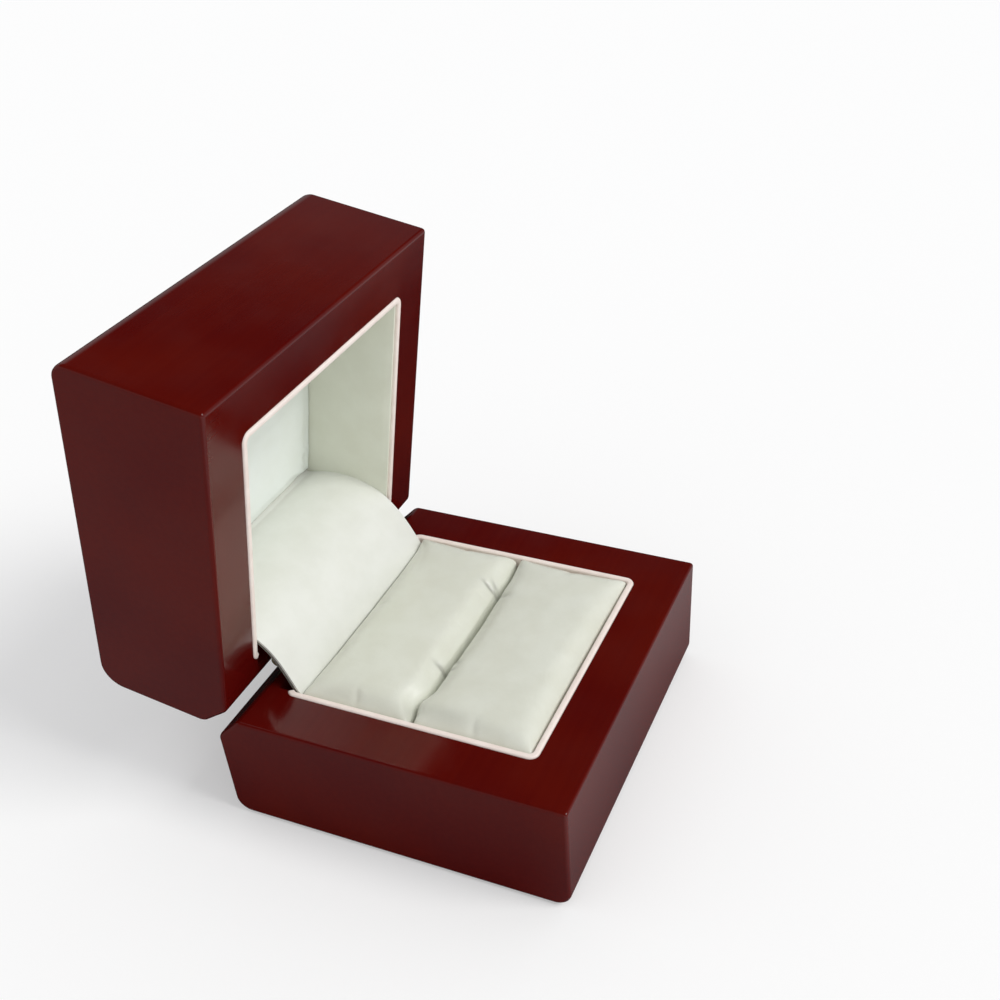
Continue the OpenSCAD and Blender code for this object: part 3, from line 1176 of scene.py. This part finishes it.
@dataclass
class RingCushion:
    """A foam block in a leatherette cover, one of the two that grip a ring between them.

    Each curve at an edge is its reach and its depth, each bend of the slot is its height, place and width,
    and the unevenness and the slot's waver are a height and a pitch.
    """

    name: str
    nodes: tuple[str, str]
    y_low: float
    y_high: float
    slot_side: int
    slot_room: float
    puckers: tuple[Pucker, ...]
    slot_roll: Pair = (3.4, 1.0)
    left_fall: Pair = (5.0, 0.7)
    right_rise: Pair = (6.0, 0.6)
    half_x: float = 24.5
    z_low: float = 7.76
    z_high: float = 24.2
    plain_foot: float = 6.0
    crown: float = 0.75
    fill_out: float = 0.55
    squareness: int = 8
    slot_reach: float = 3.6
    slot_bends: tuple[Triple, ...] = ((1.15, -19.4, 2.1), (0.28, -9.0, 1.6), (-0.22, 2.0, 5.0))
    slot_waver: Pair = (0.08, 4.0)
    unevenness: Pair = (0.04, 3.5)
    seeds: Pair = (3.1, 7.7)
    full_crease_shade: float = 0.35
    start_inset: float = 0.2
    shoulder: float = 0.45
    voxel: float = 0.6
    pressure: float = 4.0
    cap: Triple = (0.45, 0.45, 0.9)
    held_foot: float = 1.2

    def slot_line(self, x: np.ndarray) -> np.ndarray:
        """How far the slot's line wanders from its straight course at each x, in millimetres."""
        bends = sum(height * np.exp(-(((x - at) / width) ** 2)) for height, at, width in self.slot_bends)
        return bends + self.slot_waver[0] * wave(x, self.seeds[0], self.slot_waver[1])

    def fill_sides(self, p: np.ndarray, up: np.ndarray, slot_y: float) -> None:
        """Fills the cover out towards the tray's walls, away from the slot, and forms its top face.

        Args:
            p: the block's points, which are moved.
            up: how far up each point is, from 0 to 1.
            slot_y: where the slot's side stands.
        """
        middle, reach = (self.y_low + self.y_high) / 2, (self.y_high - self.y_low) / 2
        across = np.clip((p[:, 1] - middle) / reach, -1, 1)
        ends = np.abs(p[:, 0]) / self.half_x
        away = ramp(np.abs(p[:, 1] - slot_y) / (2 * reach))
        p[:, 0] += self.fill_out * up * ends**self.squareness * np.sign(p[:, 0])
        p[:, 1] -= self.slot_side * self.fill_out * up * away**self.squareness
        rise = self.crown * (1.0 - across**2) * (1.0 - ends**self.squareness)
        slot = edge_curve(np.abs(p[:, 1] - slot_y), *self.slot_roll)
        left = edge_curve(p[:, 0] + self.half_x, *self.left_fall)
        right = edge_curve(self.half_x - p[:, 0], *self.right_rise)
        p[:, 2] += up**4 * (rise - np.hypot(slot, left) + right)

    def shape(self, obj: Object) -> None:
        """Gives the swollen block its full sides, crown and rolled slot edge, then its slot line and puckers,
        and keeps where the material paints shade in their creases.

        Args:
            obj: the block.
        """
        p = points_of(obj.data)
        up = ramp((p[:, 2] - (self.z_low + self.plain_foot)) / (self.z_high - self.z_low - self.plain_foot))
        slot_y = self.y_high if self.slot_side > 0 else self.y_low
        self.fill_sides(p, up, slot_y)
        near = np.exp(-(((p[:, 1] - slot_y) / self.slot_reach) ** 2)) * up
        p[:, 1] += near * self.slot_line(p[:, 0])
        dent = sum(pucker.dent(p) for pucker in self.puckers)
        p[:, 2] -= dent * up**3
        # Painted shade: how deep each pucker sinks is kept for the material, which darkens the colour there
        # as shade in a crease.
        gather = obj.data.attributes.new("gather", "FLOAT", "POINT")
        gather.data.foreach_set("value", ramp(dent / self.full_crease_shade) * up)
        height, pitch = self.unevenness
        p[:, 2] += up**4 * height * wave(p[:, 0], self.seeds[1] + self.slot_side, pitch, p[:, 1])
        room = self.slot_side * self.slot_room
        p[:, 0] = held_between(p[:, 0], -self.half_x, self.half_x)
        p[:, 1] = held_between(p[:, 1], self.y_low + min(room, 0.0), self.y_high + max(room, 0.0))
        p[:, 2] = np.maximum(p[:, 2], self.z_low)
        set_points(obj, p)

    def build(self, finish: Material) -> None:
        """Makes the cushion and puts it in the frame.

        Args:
            finish: its cover.
        """
        i = self.start_inset
        low = (-self.half_x + i, self.y_low + i, self.z_low)
        high = (self.half_x - i, self.y_high - i, self.z_high - i)
        obj = rounded_block(self.name, low, high, self.shoulder, lambda height: height > 0.4)
        puff(obj, self.voxel, self.pressure, self.cap, lambda p: p[:, 2] < self.z_low + self.held_foot)
        self.shape(obj)
        stand_for(obj, finish, Half.BASE, "pearl_leatherette", *self.nodes)


@dataclass
class CeilingPad:
    """The thin crowned pad on the lid's ceiling, drawn in the closed box with its face down."""

    half_x: float = 24.3
    y_low: float = -22.4
    y_high: float = 21.0
    roof: float = 43.94
    face: float = 42.0
    start_inset: float = 0.1
    edge_roll: float = 0.3
    crown: float = 0.35
    turn_up: float = 1.1
    turn_up_reach: float = 0.9
    unevenness: Pair = (0.06, 6.0)
    seed: float = 11.3
    voxel: float = 0.6
    pressure: float = 3.0
    cap: Triple = (0.12, 0.12, 0.45)
    held_roof: float = 0.4

    def build(self, finish: Material) -> None:
        """Makes the pad and puts it in the frame.

        Args:
            finish: its cover.
        """
        i = self.start_inset
        low = (-self.half_x + i, self.y_low + i, self.face + i)
        high = (self.half_x - i, self.y_high - i, self.roof)
        obj = rounded_block("ceiling_pad", low, high, self.edge_roll, lambda height: height < 0.3)
        puff(obj, self.voxel, self.pressure, self.cap, lambda p: p[:, 2] > self.roof - self.held_roof)
        p = points_of(obj.data)
        down = ramp((self.roof - p[:, 2]) / (self.roof - self.face))
        u = p[:, 0] / self.half_x
        v = (p[:, 1] - (self.y_low + self.y_high) / 2) / ((self.y_high - self.y_low) / 2)
        p[:, 2] -= down * self.crown * (1 - u**4) * (1 - v**4)
        gap = np.minimum(self.half_x - np.abs(p[:, 0]), p[:, 1] - self.y_low)
        p[:, 2] -= down * self.turn_up * np.exp(-((np.clip(gap, 0.0, None) / self.turn_up_reach) ** 1.5))
        height, pitch = self.unevenness
        p[:, 2] += down * height * wave(p[:, 0], self.seed, pitch, p[:, 1])
        p[:, 2] = np.minimum(p[:, 2], self.roof)
        set_points(obj, PLAN.opened(p))
        stand_for(obj, finish, Half.LID, "pearl_leatherette", "lid_pad_cover", "lid_pad_foam")


# Lining, flap and felt


@dataclass
class WallLining:
    """The leatherette band on the lid's inner walls, with soft upright swells where its glue lets go."""

    edge_below_lip: float = 0.6
    below_recess: float = 0.15
    rear_step: Pair = (1.0, 0.8)
    corner: float = 0.8
    arc_steps: int = 6
    side_steps: int = 88
    rows: int = 26
    swell: float = 0.75
    swell_by_flap: float = 0.3
    flap_zone: Pair = (8.0, 16.0)
    waviness: float = 0.3
    pitch: float = 7.0
    seed: float = 21.5
    flat: Pair = (0.0194, 0.1885)
    cut_area: float = 0.00352

    def layers(self, ring: np.ndarray) -> np.ndarray:
        """The points of the band's back and face, row by row from its edge to the roof.

        Args:
            ring: the walls' outline, with outward directions.

        Returns:
            The back's points, then the face's, in the closed box.
        """
        rear = ramp((ring[:, 1] - (PLAN.in_rear - self.rear_step[0])) / self.rear_step[1])
        rear_drop = PLAN.recess + self.below_recess - self.edge_below_lip
        edge_z = PLAN.part_z + self.edge_below_lip + rear * rear_drop
        run = np.cumsum(np.r_[0, np.hypot(*np.diff(ring[:, :2], axis=0).T)])
        straight = np.abs(ring[:, 2:]).max(1) ** 8
        start, stop = self.flap_zone
        clear = ramp((stop - ring[:, 1]) / (stop - start))
        free = self.swell_by_flap + (1 - self.swell_by_flap) * clear
        sheets = []
        for depth in (0.0, PLAN.lining_t):
            for row in range(self.rows):
                t = row / (self.rows - 1)
                waves = 1 - self.waviness + self.waviness * wave(run, self.seed, self.pitch, t * 5.0)
                bulge = self.swell * math.sin(math.pi * t**0.6) * free * waves
                inset = depth + (bulge * straight if depth else 0.0)
                z = edge_z + (PLAN.roof_z - edge_z) * t
                sheets.append(np.c_[ring[:, 0] - ring[:, 2] * inset, ring[:, 1] - ring[:, 3] * inset, z])
        return np.vstack(sheets)

    def build(self, finish: Material) -> None:
        """Makes the band and puts it in the frame.

        Args:
            finish: its leatherette.
        """
        size = (PLAN.in_x - GAP, PLAN.in_front + GAP, PLAN.in_rear - GAP)
        ring = rounded_outline(*size, self.corner, self.arc_steps, self.side_steps)
        n = len(ring)
        sheet = grid_faces(self.rows, n)
        back = self.rows * n
        top = (self.rows - 1) * n
        faces = sheet + [tuple(i + back for i in reversed(f)) for f in sheet]
        faces += [(c, c + back, (c + 1) % n + back, (c + 1) % n) for c in range(n)]
        faces += [(top + (c + 1) % n, top + (c + 1) % n + back, top + c + back, top + c) for c in range(n)]
        obj = from_arrays("lid_wall_lining", PLAN.opened(self.layers(ring)), faces)
        point_outwards(obj)
        obj.data.set_sharp_from_angle(angle=CREASE)
        stand_for(obj, finish, Half.LID, "pearl_leatherette", "lid_lining")


@dataclass
class HingeFlap:
    """The flap that bridges the hinge, leatherette over card.

    It runs from its tuck behind the rear cushion to its tail behind the ceiling pad. Both layers are sheets
    swept along the flap's line.
    """

    card_t: float = 0.8
    cover_t: float = 0.4
    tuck: float = 10.0
    tuck_gap: float = 0.1
    pad_gap: float = 0.15
    crease: float = 1.6
    start_slope: float = 62.0
    start_reach: float = 7.5
    end_slope: float = 14.4
    end_reach: float = 17.2
    tail: float = 1.6
    half_x: float = 24.05
    card_inset: float = 0.2
    steps: int = 96
    across: int = 61
    along: int = 120
    twist: float = 0.8
    ripple: float = 0.6
    ripple_scale: float = 60.0
    free_from: Pair = (0.23, 0.5)
    free_until: Pair = (0.7, 0.93)
    seed: float = 3.0

    def line(self) -> np.ndarray:
        """The visible face's line in the Y-Z plane.

        Returns:
            Its points, from the tuck along a cubic arch to the tail.
        """
        total = self.card_t + self.cover_t
        start = np.array([PLAN.in_rear - self.tuck_gap - total, PLAN.part_z - self.crease])
        end_y = PLAN.in_rear - PLAN.lining_t - self.pad_gap - total
        ceiling = PLAN.part_z + PLAN.ceiling
        end, tail = PLAN.opened(np.array([[0.0, end_y, ceiling], [0.0, end_y, ceiling + self.tail]]))[:, 1:]
        leave, slope = math.radians(self.start_slope), math.radians(self.end_slope)
        first = start + self.start_reach * np.array([math.cos(leave), math.sin(leave)])
        last = end - self.end_reach * np.array([math.cos(slope), -math.sin(slope)])
        t = np.linspace(0.0, 1.0, self.steps)[:, None]
        weights = ((1 - t) ** 3, 3 * (1 - t) ** 2 * t, 3 * (1 - t) * t**2, t**3)
        arch = sum(weight * control for weight, control in zip(weights, (start, first, last, end)))
        return np.vstack([start - [0.0, self.tuck], arch, tail])

    def length(self) -> float:
        """The length of the flap's line."""
        return float(np.hypot(*np.diff(self.line(), axis=0).T).sum())

    def sheet(self, name: str, depth: float, thickness: float, half_x: float, finish: Material) -> Object:
        """One layer of the flap, swept along its line.

        Args:
            name: the piece's name.
            depth: how deep its face lies under the flap's line.
            thickness: its own thickness.
            half_x: half its width.
            finish: its material.

        Returns:
            The layer as an object.
        """
        line = self.line()
        mesh = bpy.data.meshes.new(name)
        path_edges = [(i, i + 1) for i in range(len(line) - 1)]
        mesh.from_pydata([(0.0, y * MM, z * MM) for y, z in line], path_edges, [])
        obj = add_object(name, mesh)
        r = Recipe(
            f"{name}_sweep",
            Width=2 * half_x * MM,
            Length=self.length() * MM,
            Depth=depth * MM,
            Across=self.across,
            Along=self.along,
            Twist=self.twist * MM,
            Ripple=self.ripple * MM,
            Ripple_Scale=self.ripple_scale,
            Seed=self.seed,
            Finish=finish,
        )
        grid = {
            "Size X": r.given("Width"),
            "Size Y": 1.0,
            "Vertices X": r.given("Across"),
            "Vertices Y": r.given("Along"),
        }
        plane = r.node("GeometryNodeMeshGrid", None, grid, "Mesh")
        here = r.node("GeometryNodeInputPosition")
        x, factor = r.part(here, "X"), r.part(here, "Y") + 0.5
        path = r.node("GeometryNodeMeshToCurve", None, {"Mesh": r.given("Geometry")})
        place = {"Curves": path, "Factor": factor}
        spot = r.node("GeometryNodeSampleCurve", {"mode": "FACTOR"}, place, "Position")
        tangent = Wire(r, spot.socket.node.outputs["Tangent"])
        under = r.over("NORMALIZE", r.over("CROSS_PRODUCT", tangent, (1.0, 0.0, 0.0)))
        free = factor.span(*self.free_from) * factor.span(*self.free_until, 1.0, 0.0)
        side = 0.5 - x / r.given("Width")
        spread = r.vector(x, factor * r.given("Length"))
        feeds = {"Vector": spread, "W": r.given("Seed"), "Scale": r.given("Ripple Scale"), "Detail": 1.0}
        swell = r.node("ShaderNodeTexNoise", {"noise_dimensions": "4D"}, feeds, "Fac") - 0.5
        sink = r.given("Depth") - free * side * r.given("Twist") + free * swell * r.given("Ripple")
        moved = r.over("ADD", r.over("ADD", spot, r.vector(x)), r.scaled(under, sink))
        laid = r.node("GeometryNodeSetPosition", None, {"Geometry": plane, "Position": moved})
        r.serve(r.node("GeometryNodeSetShadeSmooth", None, {"Geometry": laid}), obj)
        thick = obj.modifiers.new("thickness", "SOLIDIFY")
        thick.thickness = thickness * MM
        thick.offset = -1.0
        thick.use_even_offset = True
        bake_modifiers(obj)
        obj.data.set_sharp_from_angle(angle=CREASE)
        return obj

    def build(self, leatherette: Material, card: Material) -> None:
        """Makes both layers along the flap's line, which arches over the hinge.

        Args:
            leatherette: the cover's finish.
            card: the board's finish.
        """
        cover = self.sheet("flap_leatherette", 0.0, self.cover_t, self.half_x, leatherette)
        under = (self.cover_t + GAP, self.card_t - GAP, self.half_x - self.card_inset)
        board = self.sheet("flap_board", *under, card)
        for obj, finish, slot, node in (
            (cover, leatherette, "pearl_leatherette", "flap_cover"),
            (board, card, "grey_card", "flap_card"),
        ):
            dress(obj, finish)
            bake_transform(obj)
            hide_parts(node)
            faces = len(obj.data.polygons)
            LOG.info("%s bends between base and lid and stands for %s, %d faces", obj.name, node, faces)
        length = self.length()


@dataclass
class FeltFoot:
    """The felt sheet let into the underside, with a slightly ragged cut edge."""

    half_x: float = 29.9
    half_y: float = 27.9
    thickness: float = 0.97
    corner: float = 1.8
    arc_steps: int = 6
    side_steps: int = 70
    rings: int = 18
    raggedness: float = 0.0016
    ragged_step: float = 0.8
    ragged_pitch: float = 1.3
    lump: float = 0.03
    lump_pitch: float = 2.0
    edge_lift: float = 0.12
    seeds: Pair = (41.0, 43.0)

    def build(self, finish: Material) -> None:
        """Makes the sheet and puts it in the frame.

        Args:
            finish: its felt.
        """
        outline = (self.half_x, -self.half_y, self.half_y, self.corner, self.arc_steps, self.side_steps)
        edge = rounded_outline(*outline)[:, :2]
        n = len(edge)
        nicks = wave(np.arange(n) * self.ragged_step, self.seeds[0], self.ragged_pitch)
        ragged = edge * (1.0 - self.raggedness * (1 + nicks))[:, None]
        rows = []
        for share in np.linspace(0.0, 1.0, self.rings)[1:] ** 0.5:
            flat = ragged * share
            lumps = self.lump * (1 + wave(flat[:, 0], self.seeds[1], self.lump_pitch, flat[:, 1]))
            rows.append(np.c_[flat, lumps])
        rows[-1][:, 2] = self.edge_lift
        rows.append(np.c_[ragged, np.full(n, self.thickness)])
        points = np.vstack([[[0.0, 0.0, 0.0]], *rows, [[0.0, 0.0, self.thickness]]])
        points[1:, 2] = np.maximum(points[1:, 2], 0.0)
        last = len(points) - 1
        faces: list[tuple[int, ...]] = [(0, 1 + (c + 1) % n, 1 + c) for c in range(n)]
        faces += [tuple(i + 1 for i in reversed(f)) for f in grid_faces(len(rows), n)]
        faces += [(last, last - n + c, last - n + (c + 1) % n) for c in range(n)]
        obj = from_arrays("felt_foot", points, faces)
        point_outwards(obj)
        obj.data.set_sharp_from_angle(angle=CREASE)
        stand_for(obj, finish, Half.BASE, "felt", "base_felt")


@dataclass
class LeafScrews:
    """The four slotted screws of one hinge leaf."""

    half: Half
    head_radius: float = 1.1
    head_height: float = 0.5
    shank_radius: float = 0.6
    tip_share: float = 0.35
    length: float = 7.0
    lap: float = 0.001
    slot_width: float = 0.35
    slot_depth: float = 0.25
    xs: tuple[float, ...] = (-15.2, -2.28, 2.28, 15.2)
    y: float = 25.7
    head_z: float = 21.4
    spin: float = 2.4

    def build(self, finish: Material) -> None:
        """Makes the screws by instancing one on each hole, and puts them in the frame.

        Args:
            finish: their metal.
        """
        spots = PLAN.on_half(self.half, np.array([(x, self.y, self.head_z) for x in self.xs]))
        turn = math.radians(180.0 - PLAN.open_angle) if self.half is Half.LID else 0.0
        obj = from_arrays(f"{self.half.value}_leaf_screws", spots, [])
        r = Recipe(
            f"{self.half.value}_screw_set",
            Head_Radius=self.head_radius * MM,
            Head_Height=self.head_height * MM,
            Shank_Radius=self.shank_radius * MM,
            Length=self.length * MM,
            Slot_Width=self.slot_width * MM,
            Slot_Depth=self.slot_depth * MM,
            Turn=(turn, 0.0, 0.0),
            Seed=self.spin,
            Finish=finish,
        )

        def cone(vertices: int, top: Wire, bottom: Wire, depth: Wire, down: Wire) -> Wire:
            """A cone that stands below the screw's face.

            Args:
                vertices: corners round it.
                top: its upper radius.
                bottom: its lower radius.
                depth: its height.
                down: how far its foot lies below the face.

            Returns:
                The cone.
            """
            size = {"Vertices": vertices, "Radius Top": top, "Radius Bottom": bottom, "Depth": depth}
            made = r.node("GeometryNodeMeshCone", None, size, "Mesh")
            shift = r.vector(0.0, 0.0, down * -1.0)
            return r.node("GeometryNodeTransform", None, {"Geometry": made, "Translation": shift})

        head_r, head_h = r.given("Head Radius"), r.given("Head Height")
        shank_r, length = r.given("Shank Radius"), r.given("Length")
        head = cone(32, head_r, shank_r, head_h, head_h)
        shank = cone(20, shank_r, shank_r * self.tip_share, length - head_h, length - self.lap * MM)
        slot_size = r.vector(head_r * 3.0, r.given("Slot Width"), r.given("Slot Depth") * 2.0)
        slot = r.node("GeometryNodeMeshCube", None, {"Size": slot_size}, "Mesh")
        solids = {"Mesh 1": head, "Mesh 2": slot}
        cut = r.node("GeometryNodeMeshBoolean", {"operation": "DIFFERENCE"}, solids, "Mesh")
        screw = r.node("GeometryNodeJoinGeometry", None, {"Geometry": [cut, shank]})
        feeds = {"Points": r.given("Geometry"), "Instance": screw, "Rotation": r.given("Turn")}
        placed = r.node("GeometryNodeInstanceOnPoints", None, feeds)
        spin = r.vector(0.0, 0.0, r.node("GeometryNodeInputIndex") * r.given("Seed"))
        turned = {"Instances": placed, "Rotation": spin, "Local Space": True}
        r.serve(r.node("GeometryNodeRotateInstances", None, turned), obj)
        stand_for(obj, finish, self.half, "hinge_metal", f"hinge_{self.half.value}_screws")


# The studio


@dataclass
class Studio:
    """Camera at the photograph's viewing angle, a pale floor and soft light from the front."""

    camera_at: Triple = (-0.152453, -0.082441, 0.168794)
    right: Triple = (0.371132, -0.927833, -0.037231)
    up: Triple = (0.590337, 0.204806, 0.780741)
    back: Triple = (-0.716772, -0.311737, 0.623745)
    lens: float = 43.696
    sensor: float = 36.0
    shift: Pair = (-0.04708, 0.09994)
    clip: Pair = (0.01, 20.0)
    fill: float = 0.62
    fill_colour: Triple = (0.985, 0.99, 1.0)
    key_strength: float = 1.65
    key_angle: float = 26.0
    key_colour: Triple = (1.0, 0.995, 0.98)
    key_from: Triple = (0.06, -0.70, 0.71)
    floor_half: float = 3.0
    floor_tones: tuple[Triple, Triple] = ((0.86, 0.86, 0.865), (0.88, 0.88, 0.885))
    floor_seen: Triple = (0.985, 0.985, 0.987)
    floor_glow: float = 0.3
    mirrored_tones: Triple = (0.02, 0.6, 0.2)
    mirrored_cool: float = 1.02
    front_zone: Pair = (-60.0, -20.0)
    left_zone: Pair = (-60.0, -25.0)
    horizon: Pair = (0.36, 0.6)
    horizon_strengths: Pair = (0.3, 0.012)
    horizon_colour: Triple = (0.98, 0.99, 1.0)

    def add_camera(self) -> None:
        """Places the camera, with the shift that frames the picture as the photograph is."""
        data = bpy.data.cameras.new("camera")
        data.sensor_width = self.sensor
        data.lens = self.lens
        data.shift_x, data.shift_y = self.shift
        data.clip_start, data.clip_end = self.clip
        camera = add_object("camera", data)
        turn = Matrix((self.right, self.up, self.back)).transposed().to_4x4()
        camera.matrix_world = Matrix.Translation(Vector(self.camera_at)) @ turn
        bpy.context.scene.camera = camera

    def add_floor(self) -> None:
        """Lays the pale floor, which keeps the box's shadow and is mirrored as a dimmer room floor."""
        far = self.floor_half
        mesh = bpy.data.meshes.new("floor")
        mesh.from_pydata([(-far, -far, 0), (far, -far, 0), (far, far, 0), (-far, far, 0)], [], [(0, 1, 2, 3)])
        floor = add_object("floor", mesh)
        p = new_paint("pale_floor")
        floor.data.materials.append(p.holder)
        where = p.place()
        front = p.part(where, "Y").span(*self.front_zone, 1.0, 0.0)
        left = p.part(where, "X").span(*self.left_zone, 1.0, 0.0)
        least, more_front, more_left = self.mirrored_tones
        dim = least + front * more_front + (1.0 - front) * left * more_left
        plain = p.shader("BsdfDiffuse", p.mix(p.noise(where, 0.004, 1.0), *self.floor_tones))
        seen = p.shader("BsdfDiffuse", self.floor_seen)
        glow = p.shader("Emission", (1.0, 1.0, 1.0), Strength=1.0)
        seen = p.either(self.floor_glow, seen, glow)
        mirrored = p.shader("BsdfDiffuse", p.vector(dim, dim, dim * self.mirrored_cool))
        look = p.either(p.ray("Camera"), plain, seen)
        p.end("ShaderNodeOutputMaterial", "Surface", p.either(p.ray("Glossy"), look, mirrored))

    def add_lights(self) -> None:
        """Sets the soft key light and the surroundings.

        The lacquer mirrors the surroundings as a dark room with a pale horizon. The camera sees them white.
        """
        lamp = bpy.data.lights.new("key", "SUN")
        lamp.energy = self.key_strength
        lamp.angle = math.radians(self.key_angle)
        lamp.color = self.key_colour
        key = add_object("key", lamp)
        key.rotation_mode = "QUATERNION"
        key.rotation_quaternion = Vector(self.key_from).to_track_quat("Z", "Y")
        world = bpy.data.worlds.new("studio")
        bpy.context.scene.world = world
        p = Paint(world)
        rise = p.part(p.node("ShaderNodeTexCoord", out="Generated"), "Z")
        room = rise.span(*self.horizon, *self.horizon_strengths)
        white = p.shader("Background", (1.0, 1.0, 1.0), Strength=1.0)
        soft = p.shader("Background", self.fill_colour, Strength=self.fill)
        mirror = p.shader("Background", self.horizon_colour, Strength=room)
        lit = p.either(p.ray("Glossy"), soft, mirror)
        p.end("ShaderNodeOutputWorld", "Surface", p.either(p.ray("Camera"), lit, white))

    def build(self) -> None:
        """Sets up the whole studio."""
        self.add_camera()
        self.add_floor()
        self.add_lights()
        bpy.context.scene.view_settings.view_transform = "Standard"


# The box


def dress_frame_nodes(leaf: Material, card: Material) -> None:
    """Gives the CAD nodes that stay their finishes.

    Args:
        leaf: the hinge leaves' metal.
        card: the board's finish.
    """
    steel = HingeMetal(light=(0.5, 0.5, 0.5), dull=(0.3, 0.29, 0.28), roughness=0.28, name="steel").make()
    finishes = {
        "hinge_base_leaf": leaf,
        "hinge_lid_leaf": leaf,
        "hinge_pin": steel,
        "snap_spring_left": steel,
        "snap_spring_right": steel,
        "cushion_board": card,
    }
    for node, finish in finishes.items():
        dress(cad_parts[node], finish)


def ring_cushions() -> tuple[RingCushion, RingCushion]:
    """Lists the two cushions, with the puckers that each cover has.

    Returns:
        The front cushion and the rear one.
    """
    front = RingCushion(
        name="front_ring_cushion",
        nodes=("front_cushion_cover", "front_cushion_foam"),
        y_low=-22.55,
        y_high=0.1,
        slot_side=1,
        slot_room=1.2,
        slot_roll=(1.0, 0.15),
        puckers=(
            Pucker(-9.6, -0.7, 1.3, 0.5, 80.0, 0.3),
            Pucker(-7.6, -1.2, 1.5, 0.6, 40.0, 0.22),
            Pucker(12.8, -1.2, 2.0, 0.7, 60.0, 0.2),
            Pucker(-21.6, -5.0, 1.4, 4.4, 0.0, 0.12),
        ),
    )
    rear = RingCushion(
        name="rear_ring_cushion",
        nodes=("rear_cushion_cover", "rear_cushion_foam"),
        y_low=0.3,
        y_high=21.55,
        slot_side=-1,
        slot_room=0.15,
        puckers=(
            Pucker(-9.3, 0.9, 1.4, 0.5, 85.0, 0.55),
            Pucker(14.2, 1.9, 1.7, 0.5, 75.0, 0.5),
            Pucker(15.4, 1.4, 1.2, 0.45, 50.0, 0.3),
            Pucker(-22.4, 1.2, 2.0, 1.8, 0.0, 0.14),
        ),
    )
    return front, rear


def main() -> None:
    """Builds the studio and the box, piece by piece."""
    logging.basicConfig(level=logging.INFO, format="%(message)s")
    Studio().build()
    flap_leatherette = Leatherette().make()
    # Painted shade: the cushions' copy of the leatherette is darker than the flap's, and darkens in the
    # puckers' creases.
    shaded_cushion_leatherette = Leatherette(
        light=(0.745, 0.76, 0.675),
        shade=(0.695, 0.705, 0.61),
        roughness=0.34,
        gloss_ior=1.58,
        crease_shaded=True,
        name="pearl_leatherette_cushion_painted_shade",
    ).make()
    # Painted light: the pad's copy is lighter and cooler than the flap's, and the lining's warmer and
    # yellower, for how light falls and bounces in the lid.
    lit_pad_leatherette = Leatherette(
        light=(0.89, 0.94, 0.91), shade=(0.86, 0.905, 0.86), name="pearl_leatherette_pad_painted_light"
    ).make()
    warm_lit_lining_leatherette = Leatherette(
        light=(0.825, 0.84, 0.735), shade=(0.78, 0.79, 0.68), name="pearl_leatherette_lining_painted_warm_light"
    ).make()
    card = Card().make()
    leaf = HingeMetal().make()
    WoodHalf(Half.BASE).build(Lacquer().make())
    WoodHalf(Half.LID).build(Lacquer(turn=PLAN.open_angle, name="lacquered_wood_lid").make())
    lid_foot = PLAN.part_z - PLAN.lid_h + PLAN.roof_t
    LipTray(Half.BASE, PLAN.floor_t).build(TrayPlastic().make())
    LipTray(Half.LID, lid_foot).build(TrayPlastic(turn=PLAN.open_angle, name="tray_plastic_lid").make())
    for cushion in ring_cushions():
        cushion.build(shaded_cushion_leatherette)
    CeilingPad().build(lit_pad_leatherette)
    WallLining().build(warm_lit_lining_leatherette)
    HingeFlap().build(flap_leatherette, card)
    FeltFoot().build(Felt().make())
    LeafScrews(Half.BASE).build(leaf)
    LeafScrews(Half.LID).build(leaf)
    dress_frame_nodes(leaf, card)


if __name__ == "__main__":
    main()
